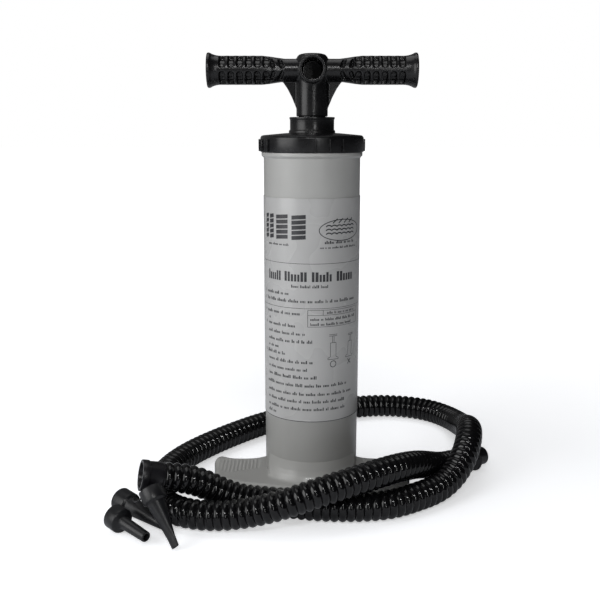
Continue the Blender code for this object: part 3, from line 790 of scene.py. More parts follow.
# ---------------------------------------------------------------------------- hose
@dataclass
class Hose:
    """The corrugated hose, its two end fittings, the nozzles and their tether.

    Attributes:
        radius: over the crests.
        depth: from crest to root of a corrugation.
        pitch: from crest to crest.
        sides: points round.
        readings: rings in each corrugation.
        bore: radius of the cuff's socket.
        spigot: radius of a nozzle's spigot.
        cuff_length: length of the cuff.
        connector_length: length of the connector's sleeve.
        stub: radius of the connector's stub.
    """

    radius: float = 0.0155
    depth: float = 0.0023
    pitch: float = 0.0084
    sides: int = 36
    readings: int = 10
    bore: float = 0.01295
    spigot: float = 0.0127
    cuff_length: float = 0.0240
    connector_length: float = 0.0220
    stub: float = 0.01055
    tether_radius: float = 0.0009
    route: list[Point] = field(default_factory=lambda: [
        (-0.154, -0.102, 0.0490), (-0.126, -0.093, 0.0415), (-0.100, -0.084, 0.0265),
        (-0.075, -0.083, 0.0170), (-0.046, -0.088, 0.0158), (-0.006, -0.0985, 0.0158),
        (0.040, -0.1025, 0.0158), (0.084, -0.0945, 0.0158), (0.114, -0.076, 0.0158),
        (0.140, -0.055, 0.0170), (0.163, -0.031, 0.0270), (0.180, 0.000, 0.0420),
        (0.1895, 0.036, 0.0480), (0.194, 0.070, 0.0410), (0.197, 0.108, 0.0290),
        (0.196, 0.145, 0.0210), (0.188, 0.180, 0.0165), (0.170, 0.206, 0.0158),
        (0.143, 0.222, 0.0158), (0.104, 0.2295, 0.0158), (0.052, 0.2185, 0.0158),
        (0.000, 0.1945, 0.0158), (-0.048, 0.1655, 0.0158), (-0.090, 0.124, 0.0158),
        (-0.126, 0.078, 0.0158), (-0.153, 0.032, 0.0158), (-0.1675, -0.016, 0.0158),
        (-0.1675, -0.058, 0.0158), (-0.156, -0.093, 0.0158), (-0.133, -0.1145, 0.0158),
        (-0.103, -0.1225, 0.0158), (-0.068, -0.1255, 0.0200), (-0.030, -0.129, 0.0310),
        (0.008, -0.1225, 0.0415), (0.046, -0.108, 0.0478), (0.084, -0.080, 0.0478),
        (0.117, -0.042, 0.0380), (0.140, -0.008, 0.0235), (0.158, 0.0115, 0.0162),
        (0.176, 0.0225, 0.0158),
    ])

    def build(self) -> None:
        """Builds the hose and everything on it."""
        fine = smooth_line(self.route, 0.0005)
        coarse = evenly(fine, 80)
        hose = self._tube(fine)
        finish_piece(hose, HOSE_BLACK, Body.BARREL, "black_hose", "hose")
        back = Vector(coarse[0] - coarse[1]).normalized()
        cuff_place = aim(Vector(coarse[0]) + back * 0.0003, back)
        cuff = self._cuff(cuff_place)
        level = Vector((*(coarse[-1] - coarse[-2])[:2], 0.0)).normalized()
        connector = self._connector(aim(Vector(coarse[-1]) + level * 0.0008, level))
        finish_piece(cuff, CUFF_BLACK, Body.BARREL, "black_gloss", "hose_cuff")
        finish_piece(connector, CUFF_BLACK, Body.BARREL, "black_gloss", "hose_connector")
        nozzles, cone_place = self._nozzles()
        tether, tether_line = self._tether(cuff_place, cone_place)
        finish_piece(tether, SOFT_BLACK, Body.BARREL, "black_matt", "nozzle_tether")

    def _tube(self, fine: np.ndarray) -> bpy.types.Object:
        """Sweeps a corrugated skin along the hose's line.

        Args:
            fine: the line's points.

        Returns:
            The hose.
        """
        total = length_of(fine)
        waves = round(total / self.pitch)
        rings = waves * self.readings + 1
        line = evenly(fine, rings)
        ahead = np.gradient(line, axis=0)
        ahead /= np.linalg.norm(ahead, axis=1)[:, None]
        across = np.zeros_like(line)
        across[0] = np.cross(ahead[0], (0.0, 0.0, 1.0))
        for i in range(1, rings):
            across[i] = across[i - 1] - ahead[i] * float(across[i - 1] @ ahead[i])
            across[i] /= np.linalg.norm(across[i])
        across[0] /= np.linalg.norm(across[0])
        upright = np.cross(ahead, across)
        phase = np.arange(rings) / self.readings
        crest = 0.5 - 0.5 * np.cos(math.tau * phase)
        radii = self.radius - self.depth * (1.0 - crest**0.42)
        deselect()
        bpy.ops.mesh.primitive_grid_add(x_subdivisions=self.sides, y_subdivisions=rings - 1, size=2.0)
        obj = named("corrugated_hose")
        flat = np.zeros(len(obj.data.vertices) * 3)
        obj.data.vertices.foreach_get("co", flat)
        flat = flat.reshape(-1, 3)
        turn = (flat[:, 0] + 1.0) * math.pi
        ring = np.rint((flat[:, 1] + 1.0) / 2.0 * (rings - 1)).astype(int)
        out = np.cos(turn)[:, None] * across[ring] + np.sin(turn)[:, None] * upright[ring]
        placed = line[ring] + out * radii[ring][:, None]
        obj.data.vertices.foreach_set("co", placed.ravel())
        obj.data.update()
        pick(obj)
        bpy.ops.object.mode_set(mode="EDIT")
        bpy.ops.mesh.select_all(action="SELECT")
        bpy.ops.mesh.remove_doubles(threshold=0.000005)
        bpy.ops.mesh.select_all(action="DESELECT")
        bpy.ops.mesh.select_non_manifold()
        bpy.ops.mesh.edge_face_add()
        bpy.ops.mesh.select_all(action="SELECT")
        bpy.ops.mesh.fill_holes(sides=0)
        turn_outwards(obj)
        return smooth(obj, 70)

    def _cuff(self, place: Matrix) -> bpy.types.Object:
        """Builds the female cuff at the nozzle end.

        Args:
            place: its placement, mouth along local Z.

        Returns:
            The cuff.
        """
        r, long = self.radius, self.cuff_length
        return lathe("nozzle_end_cuff", [
            (r + 0.0006, long), (r + 0.0006, long - 0.0070), (r - 0.0003, long - 0.0078),
            (r - 0.0003, 0.0026), (r - 0.0012, 0.0020), (r - 0.0012, 0.0), (0.0095, 0.0),
            (0.0095, long - 0.0205), (self.bore, long - 0.0205), (self.bore, long),
        ], 96, 0.0005, place)

    def _connector(self, place: Matrix) -> bpy.types.Object:
        """Builds the male connector at the pump end.

        Args:
            place: its placement, stub along local Z.

        Returns:
            The connector.
        """
        r, long = self.radius, self.connector_length
        return lathe("pump_end_connector", [
            (0.0091, long + 0.0150), (self.stub - 0.0006, long + 0.0150), (self.stub, long + 0.0135),
            (self.stub, long), (r, long), (r, long - 0.0022), (r - 0.0008, long - 0.0030),
            (r - 0.0008, 0.0), (0.0091, 0.0),
        ], 96, 0.0004, place)

    def _nozzles(self) -> tuple[list[bpy.types.Object], Matrix]:
        """Builds the three nozzles where they lie.

        Returns:
            The nozzles, and the cone nozzle's placement.
        """
        s = self.spigot
        cone_place = self._between((-0.1985, -0.0857, 0.0137), (-0.1490, -0.1303, 0.0070))
        cone = lathe("cone_nozzle", [
            (0.0026, 0.0665), (0.0040, 0.0665), (0.0050, 0.0580), (0.0098, 0.0125), (0.0098, 0.0112),
            (s - 0.0006, 0.0095), (s, 0.0085), (s, -0.0060), (s + 0.0001, -0.0080),
            (s - 0.0018, -0.0080), (s - 0.0018, 0.0065), (0.0065, 0.0130),
        ], 64, 0.0005, cone_place)
        tube = lathe("tube_nozzle", [
            (0.0036, 0.0465), (0.0052, 0.0465), (0.0054, 0.0455), (0.0064, 0.0112), (0.0075, 0.0100),
            (s - 0.0008, 0.0086), (s, 0.0075), (s, -0.0060), (s - 0.0018, -0.0060),
            (s - 0.0018, 0.0050), (0.0046, 0.0085),
        ], 64, 0.0005, self._between((-0.1990, -0.1240, 0.0136), (-0.1610, -0.1575, 0.0078)))
        pinch = lathe("pinch_nozzle", [
            (0.0018, 0.0555), (0.0036, 0.0555), (0.0040, 0.0460), (0.0056, 0.0340), (0.0096, 0.0085),
            (0.0100, 0.0070), (s - 0.0008, 0.0060), (s, 0.0050), (s, -0.0080), (s - 0.0018, -0.0080),
            (s - 0.0018, 0.0030), (0.0062, 0.0080), (0.0034, 0.0340),
        ], 64, 0.0004)
        self._flatten(pinch)
        lean = Matrix.Rotation(math.radians(70), 4, "Z")
        put(pinch, self._between((-0.1588, -0.1367, 0.0435), (-0.1337, -0.1665, 0.0035)) @ lean)
        nozzles = [cone, tube, pinch]
        for piece, node in zip(nozzles, ("nozzle_cone", "nozzle_tube", "nozzle_pinch")):
            finish_piece(piece, SOFT_BLACK, Body.BARREL, "black_matt", node)
        return nozzles, cone_place

    @staticmethod
    def _between(start: Point, end: Point) -> Matrix:
        """Gives the placement at start, pointing at end."""
        return aim(start, Vector(end) - Vector(start))

    @staticmethod
    def _flatten(obj: bpy.types.Object) -> None:
        """Pinches a nozzle's tip into a flat blade.

        Args:
            obj: the nozzle, along local Z.
        """
        for vert in obj.data.vertices:
            share = min(1.0, max(0.0, (vert.co.z - 0.026) / 0.022))
            share = share * share * (3 - 2 * share)
            vert.co.x *= 1.0 + 0.35 * share
            vert.co.y *= 1.0 - 0.55 * share
        obj.data.update()

    def _tether(self, cuff_place: Matrix, cone_place: Matrix) -> tuple[bpy.types.Object, np.ndarray]:
        """Hangs a thin line from the cuff's rim to the cone nozzle.

        Args:
            cuff_place: the cuff's placement.
            cone_place: the cone nozzle's placement.

        Returns:
            The line's piece, and its points.
        """
        turn = math.radians(-30.0)
        reach = self.radius + 0.0006 + self.tether_radius + 0.0006
        sideways = (reach * math.cos(turn), reach * math.sin(turn))
        start = cuff_place @ Vector((*sideways, self.cuff_length - 0.004))
        end = cone_place @ Vector((0, 0, 0.0150)) + Vector((0, 0, 0.0092 + self.tether_radius + 0.0003))
        knots = [
            start, start + Vector((-0.0030, -0.0040, -0.0075)),
            start.lerp(end, 0.72) + Vector((-0.0030, -0.0050, -0.0030)), end,
        ]
        line = smooth_line([tuple(knot) for knot in knots], 0.0012)
        data = bpy.data.curves.new("tether_line", "CURVE")
        data.dimensions = "3D"
        data.bevel_depth = self.tether_radius
        data.bevel_resolution = 4
        data.use_fill_caps = True
        spline = data.splines.new("POLY")
        spline.points.add(len(line) - 1)
        for point, place in zip(spline.points, line):
            point.co = (*place, 1.0)
        obj = bpy.data.objects.new("tether_line", data)
        bpy.context.scene.collection.objects.link(obj)
        return obj, line


# ---------------------------------------------------------------------------- barrel and foot
@dataclass
class Barrel:
    """The grey barrel, its foot and the printed film.

    Attributes:
        radius: outside of the barrel.
        bore: inside of the barrel.
        floor: height of the bore's floor.
        top: height of the neck's rim.
        flange_top: height of the flange under the cap.
        pad_top: height of the foot.
    """

    radius: float = 0.0520
    bore: float = 0.0490
    floor: float = 0.0240
    top: float = 0.3900
    flange_top: float = 0.3782
    pad_top: float = 0.0220

    def build(self) -> None:
        """Builds the barrel's shell, its foot and the label."""
        shell = self._shell()
        foot = self._foot()
        finish_piece(shell, SHELL_GREY, Body.BARREL, "grey_plastic", "barrel_and_foot")
        finish_piece(foot, SHELL_GREY, Body.BARREL, "grey_plastic")
        label = Label(self.radius + 0.0003)
        label.build()

    def _shell(self) -> bpy.types.Object:
        """Turns the barrel's wall, neck, thread and flange."""
        r, top, flange = self.radius, self.top, self.flange_top
        neck = r - 0.00125
        profile = [(0.0, self.floor), (self.bore, self.floor), (self.bore, top), (neck, top)]
        for turn in range(3):
            z = top - 0.0022 - 0.0036 * turn
            ridge = neck + 0.0010
            profile += [(neck, z), (ridge, z - 0.0006), (ridge, z - 0.0012), (neck, z - 0.0018)]
        profile += [
            (neck, flange), (r + 0.0024, flange), (r + 0.0024, flange - 0.0036),
            (r + 0.0008, flange - 0.0050), (r, flange - 0.0062), (r, 0.0120), (self.bore, 0.0120),
            (self.bore, self.floor - 0.0050), (0.0, self.floor - 0.0050),
        ]
        return lathe("barrel_shell", profile, 160, 0.0004)

    def _outline(self, inset: float = 0.0) -> list[Pair]:
        """Draws the foot from above: two wings, a rounded front and a round heel.

        Args:
            inset: how far inside the outer edge.

        Returns:
            The corners in order.
        """
        half = [
            (0.0000, -0.0680), (0.0280, -0.0660), (0.0550, -0.0610), (0.0800, -0.0540),
            (0.0980, -0.0460), (0.1080, -0.0380), (0.1110, -0.0280), (0.1110, 0.0000),
            (0.1110, 0.0250), (0.1070, 0.0280), (0.0980, 0.0240), (0.0800, 0.0205),
            (0.0620, 0.0235), (0.0520, 0.0310), (0.0440, 0.0440), (0.0320, 0.0570),
            (0.0160, 0.0655), (0.0000, 0.0680),
        ]
        loop = half + [(-x, y) for x, y in half[-2:0:-1]]
        closed = np.array(loop + loop[:1])
        flat = np.column_stack([closed, np.zeros(len(closed))])
        fine = evenly(smooth_line([tuple(point) for point in flat], 0.002), 161)[:-1, :2]
        before = fine - np.roll(fine, 1, axis=0)
        after = np.roll(fine, -1, axis=0) - fine
        along = before + after
        along /= np.linalg.norm(along, axis=1)[:, None]
        inward = np.stack([-along[:, 1], along[:, 0]], axis=1)
        return [(float(x), float(y)) for x, y in fine + inset * inward]

    def _foot(self) -> bpy.types.Object:
        """Moulds the foot with its treads, front slope, hollow underside and ribs."""
        r = self.radius
        pad = slab("foot", self._outline(), -0.0140, self.pad_top, 0.0085)
        combine(pad, [block("ground", (0, 0, -0.0250), (0.30, 0.30, 0.0500))], "DIFFERENCE")
        slope = lathe("slope", [
            (0.0, 0.0480), (r - 0.0010, 0.0480), (r - 0.0002, 0.0460), (r + 0.0006, 0.0400),
            (r + 0.0018, 0.0340), (r + 0.0038, 0.0285), (r + 0.0068, 0.0240), (r + 0.0105, 0.0195),
            (r + 0.0135, 0.0140), (r + 0.0135, 0.0060), (0.0, 0.0060),
        ], 96, 0.0)
        front = block("front_half", (0, -0.0500, 0.03), (0.0960, 0.0960, 0.1))
        combine(slope, [front], "INTERSECT")
        combine(pad, [slope], "UNION")
        hollow = slab("hollow", self._outline(0.0065), -0.006, self.pad_top - 0.0040)
        sizes = ((0.24, 0.0022, 0.04), (0.0022, 0.2, 0.04))
        webs = [block("web", (0, 0, 0.008), size) for size in sizes]
        hub = bar("hub", (0, 0, -0.02), (0, 0, 0.04), 0.0150)
        combine(hollow, [*webs, hub], "DIFFERENCE")
        combine(pad, [hollow], "DIFFERENCE")
        well = bar("well", (0, 0, self.floor - 0.0040), (0, 0, 0.09), r - 0.0015, 96)
        combine(pad, [well], "DIFFERENCE")
        combine(pad, self._tread_cutters(), "DIFFERENCE")
        return mould(pad, 0.00095, 9)

    def _tread_cutters(self) -> list[bpy.types.Object]:
        """Makes the two combs that cut the treads of both wings."""
        combs = []
        for side in Side:
            cutters = []
            for i in range(11):
                x = side.value * (0.0615 + 0.0043 * i)
                front = -0.0130 - 0.0016 * min(i, 7) - (0.0 if i < 9 else -0.0030 * (i - 8))
                back = 0.0130 if i < 2 else 0.0125
                size = (0.0028, back - front, 0.0016)
                cutters.append(block("tread", (x, (front + back) / 2, self.pad_top), size))
            combs.append(merge_into(cutters[0], cutters[1:]))
        return combs


@dataclass
class Label:
    """The film round the barrel and the print on it.

    Attributes:
        inner: inside radius of the film.
        low: height of the film's lower edge.
        high: height of its upper edge.
        thick: thickness of the film.
    """

    inner: float
    low: float = 0.0905
    high: float = 0.3320
    thick: float = 0.00025

    def build(self) -> None:
        """Builds the film, then its print as thin ink patches."""
        outer = self.inner + self.thick
        film = lathe("label_sleeve", [
            (outer, self.high), (outer, self.low), (self.inner, self.low), (self.inner, self.high),
        ], 160, 0.0)
        finish_piece(film, FILM_GREY, Body.BARREL, "label_film", "label_film")
        ink = self._print(outer + INK_GAP)
        finish_piece(ink, INK_BLACK, Body.BARREL, "label_film")

    def _print(self, radius: float) -> bpy.types.Object:
        """Wraps every patch of ink on the film.

        Args:
            radius: the film's outside.

        Returns:
            The print, as thin closed patches.
        """
        patches = self._rules() + self._title() + self._body_lines() + self._table()
        patches += self._striped_block() + self._badge() + self._pictograms()
        vertices: list[Point] = []
        faces: list[tuple[int, ...]] = []
        for corners in patches:
            self._wrap(corners, radius, vertices, faces)
        mesh = bpy.data.meshes.new("label_print")
        mesh.from_pydata(vertices, [], faces)
        obj = bpy.data.objects.new("label_print", mesh)
        bpy.context.scene.collection.objects.link(obj)
        turn_outwards(obj)
        return obj

    @staticmethod
    def _wrap(
        corners: list[Pair], radius: float, vertices: list[Point], faces: list[tuple[int, ...]]
    ) -> None:
        """Wraps one four-cornered patch round the film as a thin closed plate.

        Args:
            corners: bottom left, bottom right, top right, top left, as (arc, height).
            radius: radius of its underside.
            vertices: the mesh's points, added to.
            faces: the mesh's faces, added to.
        """
        (u0, z0), (u1, z1), (u2, z2), (u3, z3) = corners
        count = max(1, int(max(abs(u1 - u0), abs(u2 - u3)) / INK_STEP))
        base = len(vertices)
        for i in range(count + 1):
            share = i / count
            low = (u0 + (u1 - u0) * share, z0 + (z1 - z0) * share)
            high = (u3 + (u2 - u3) * share, z3 + (z2 - z3) * share)
            for lift in (0.0, INK_HEIGHT):
                for u, z in (low, high):
                    turn = u / radius
                    reach = radius + lift
                    vertices.append((reach * math.sin(turn), -reach * math.cos(turn), z))
        for i in range(count):
            a = base + 4 * i
            b = a + 4
            faces.extend([
                (a, b, b + 1, a + 1), (a + 2, a + 3, b + 3, b + 2),
                (a, a + 2, b + 2, b), (a + 1, b + 1, b + 3, a + 3),
            ])
        last = base + 4 * count
        faces.extend([(base, base + 1, base + 3, base + 2), (last, last + 2, last + 3, last + 1)])

    @staticmethod
    def _rect(u0: float, u1: float, z0: float, z1: float) -> list[Pair]:
        """Gives a rectangle's corners."""
        return [(u0, z0), (u1, z0), (u1, z1), (u0, z1)]

    @staticmethod
    def _stroke(a: Pair, b: Pair, width: float) -> list[Pair]:
        """Gives a straight stroke's corners.

        Args:
            a: one end.
            b: the other end.
            width: its width.

        Returns:
            The four corners.
        """
        du, dz = b[0] - a[0], b[1] - a[1]
        size = math.hypot(du, dz)
        nu, nz = -dz / size * width / 2, du / size * width / 2
        return [
            (a[0] - nu, a[1] - nz), (b[0] - nu, b[1] - nz),
            (b[0] + nu, b[1] + nz), (a[0] + nu, a[1] + nz),
        ]

    def _arc(
        self, centre: Pair, size: Pair, start: float, end: float, width: float, count: int = 24
    ) -> list[list[Pair]]:
        """Gives the strokes of an elliptical arc.

        Args:
            centre: its middle.
            size: its two radii.
            start: first angle, in degrees.
            end: last angle, in degrees.
            width: the line's width.
            count: how many strokes.

        Returns:
            The strokes.
        """
        angles = [math.radians(start + (end - start) * i / count) for i in range(count + 1)]
        dots = [
            (centre[0] + size[0] * math.cos(t), centre[1] + size[1] * math.sin(t)) for t in angles
        ]
        return [self._stroke(a, b, width) for a, b in zip(dots, dots[1:])]

    def _words(self, u0: float, u1: float, z: float, tall: float, seed: int) -> list[list[Pair]]:
        """Fills a line with plain word-like marks that hold no letters.

        Args:
            u0: where the line starts.
            u1: where it ends.
            z: its base height.
            tall: height of the marks.
            seed: picks the word lengths.

        Returns:
            The marks.
        """
        chance = np.random.default_rng(seed)
        marks = []
        u = u0
        while u < u1 - 1.2 * tall:
            for _ in range(int(chance.integers(2, 8))):
                wide = tall * float(chance.uniform(0.22, 0.42))
                rise = tall * float(chance.choice([0.62, 0.62, 0.62, 1.0]))
                if u + wide > u1:
                    break
                marks.append(self._rect(u, u + wide, z, z + rise))
                u += wide + 0.16 * tall
            u += 0.55 * tall
        return marks

    def _rules(self) -> list[list[Pair]]:
        """Gives the two long rules round the front and the short one."""
        return [
            self._rect(-0.0760, 0.0760, 0.2640, 0.26445),
            self._rect(-0.0760, 0.0760, 0.0909, 0.0916),
            self._rect(-0.0700, 0.0700, 0.2163, 0.2167),
        ]

    def _title(self) -> list[list[Pair]]:
        """Gives a bold line of marks with a light one under it."""
        marks = []
        base = 0.2452
        chance = np.random.default_rng(11)
        spans = ((-0.0560, -0.0345), (-0.0310, -0.0045), (-0.0005, 0.0235), (0.0270, 0.0515))
        for start, end in spans:
            u = start
            while u < end - 0.0030:
                wide = float(chance.uniform(0.0022, 0.0032))
                high = 0.2556 if u == start else base + float(chance.choice([0.0076, 0.0076, 0.0102]))
                marks.append(self._rect(u, u + wide, base, high))
                u += wide + 0.0011
        return marks + self._words(-0.0230, 0.0170, 0.2385, 0.0032, 5)

    def _body_lines(self) -> list[list[Pair]]:
        """Gives the lines of small marks that stand for the directions."""
        lines = [
            (-0.0590, -0.0230, 0.2300), (-0.0590, 0.0560, 0.2225), (-0.0590, -0.0080, 0.2090),
            (-0.0560, -0.0500, 0.2015), (-0.0570, -0.0170, 0.1955), (-0.0570, -0.0060, 0.1870),
            (-0.0570, 0.0060, 0.1785), (-0.0570, -0.0340, 0.1710), (-0.0590, -0.0250, 0.1640),
            (-0.0570, 0.0030, 0.1560), (-0.0570, -0.0040, 0.1475), (-0.0570, 0.0100, 0.1390),
            (-0.0590, 0.0480, 0.1300), (-0.0580, 0.0500, 0.1205), (-0.0580, 0.0400, 0.1120),
            (-0.0580, 0.0440, 0.1035), (-0.0580, -0.0440, 0.0965),
        ]
        marks = []
        for i, (u0, u1, z) in enumerate(lines):
            marks += self._words(u0, u1, z, 0.0036, 20 + i)
        numbers = (
            (-0.0640, 0.2302), (-0.0640, 0.2227), (-0.0640, 0.2092), (-0.0630, 0.1957),
            (-0.0640, 0.1642),
        )
        for u, z in numbers:
            marks.append(self._rect(u, u + 0.0012, z, z + 0.0030))
        return marks

    def _table(self) -> list[list[Pair]]:
        """Gives a small ruled table with blank marks in it."""
        left, right, low, high = -0.0050, 0.0600, 0.1965, 0.2145
        marks = [self._rect(left, right, z, z + 0.0004) for z in (low, low + 0.0125, high)]
        marks += [self._rect(u, u + 0.0005, low, high) for u in (left, right)]
        marks += [self._rect(0.0115, 0.0120, low + 0.0125, high)]
        marks += self._words(0.0160, 0.0560, 0.2105, 0.0030, 70)
        marks += self._words(-0.0020, 0.0560, 0.2035, 0.0030, 71)
        return marks + self._words(-0.0020, 0.0480, 0.1980, 0.0030, 72)

    def _striped_block(self) -> list[list[Pair]]:
        """Gives a plain group of slanted stripes, wide and narrow."""
        marks = []
        tall, lean, gap = 0.0042, 0.0011, 0.0011
        columns = ((-0.0620, -0.0560), (-0.0535, -0.0465), (-0.0425, -0.0270), (-0.0225, -0.0070))
        for left, right in columns:
            z = 0.2890
            for _ in range(5):
                marks.append([(left, z), (right, z + lean), (right, z + lean + tall), (left, z + tall)])
                z += tall + gap
        return marks + self._words(-0.0560, -0.0250, 0.2825, 0.0026, 90)

    def _badge(self) -> list[list[Pair]]:
        """Gives a plain oval badge with waves and a bar."""
        marks = self._arc((0.0340, 0.2990), (0.0270, 0.0110), 0, 360, 0.0009, 48)
        for row, lift in enumerate((0.2945, 0.2985, 0.3025)):
            for i in range(6):
                u = 0.0160 + 0.0062 * i
                marks += self._arc((u + 0.0015, lift), (0.0031, 0.0019), 10, 170, 0.0013, 6)
        for i in range(4):
            u = 0.0070 * i
            marks.append(self._stroke((0.0220 + u, 0.3065), (0.0275 + u, 0.3110), 0.0012))
        marks += self._words(0.0130, 0.0560, 0.2850, 0.0034, 91)
        return marks + self._words(0.0080, 0.0590, 0.2800, 0.0024, 92)

    def _pictograms(self) -> list[list[Pair]]:
        """Gives two outlines of a pump, upright with a ring and tilted with a cross."""
        line = 0.0005
        foot = 0.1602
        marks = []
        for middle, lean, scale in ((0.0235, 0.0, 1.0), (0.0460, 0.16, 0.93)):
            shape = [
                ((-0.0048, 0.1860), (0.0048, 0.1860)), ((-0.0048, 0.1875), (0.0048, 0.1875)),
                ((-0.0009, 0.1860), (-0.0009, 0.1785)), ((0.0009, 0.1860), (0.0009, 0.1785)),
                ((-0.0034, 0.1785), (0.0034, 0.1785)), ((-0.0034, 0.1785), (-0.0034, 0.1630)),
                ((0.0034, 0.1785), (0.0034, 0.1630)), ((-0.0034, 0.1630), (-0.0062, 0.1618)),
                ((0.0034, 0.1630), (0.0062, 0.1618)), ((-0.0062, 0.1618), (-0.0062, 0.1602)),
                ((0.0062, 0.1618), (0.0062, 0.1602)), ((-0.0062, 0.1602), (0.0062, 0.1602)),
            ]
            for a, b in shape:
                ends = [
                    (middle + scale * u + lean * (z - foot) * 0.6, foot + (z - foot) * scale)
                    for u, z in (a, b)
                ]
                marks.append(self._stroke(ends[0], ends[1], line))
        marks += self._arc((0.0235, 0.1550), (0.0034, 0.0034), 0, 360, 0.0008)
        marks.append(self._stroke((0.0435, 0.1522), (0.0485, 0.1578), 0.0009))
        marks.append(self._stroke((0.0435, 0.1578), (0.0485, 0.1522), 0.0009))
        return marks


# ---------------------------------------------------------------------------- cap
@dataclass
class Cap:
    """The screw cap with its collar and grip ribs.

    Attributes:
        radius: outside of the skirt.
        collar: outside of the collar.
        floor: height of its underside.
        bottom: height of the skirt's lower edge.
        top: height of the collar's top.
        rod: radius of the rod through it.
    """

    radius: float = 0.0555
    collar: float = 0.0236
    floor: float = 0.3925
    bottom: float = 0.3786
    top: float = 0.4150
    rod: float = ROD_RADIUS

    def build(self) -> None:
        """Builds the cap and its twelve ribs."""
        r, c, f, t = self.radius, self.collar, self.floor, self.top
        profile = [
            (self.rod + 0.0010, t), (c + 0.0006, t), (c + 0.0006, t - 0.0020), (c, t - 0.0026),
            (c, f + 0.0090), (c + 0.0012, f + 0.0085), (c + 0.0012, f + 0.0060),
            (c + 0.0060, f + 0.0057), (r - 0.0030, f + 0.0036), (r - 0.0010, f + 0.0028),
            (r, f + 0.0008), (r, self.bottom),
            (r - 0.0028, self.bottom), (r - 0.0028, f), (self.rod + 0.0045, f),
            (self.rod + 0.0045, t - 0.0020), (self.rod + 0.0010, t - 0.0020),
        ]
        cap = lathe("screw_cap", profile, 160, 0.0005, segments=3)
        ribs = []
        for group in range(4):
            for step in range(3):
                turn = Matrix.Rotation(math.radians(-90 + 3 + 15.5 * step + 90 * group), 4, "Z")
                high = f - 0.0004 - self.bottom - 0.0006
                centre = (r + 0.0004, 0.0, self.bottom + 0.0006 + high / 2)
                ribs.append(block("rib", centre, (0.0032, 0.0017, high), turn, 0.0005))
        merge_into(cap, ribs)
        smooth(cap, 40)
        finish_piece(cap, CAP_BLACK, Body.CAP, "black_gloss", "cap")


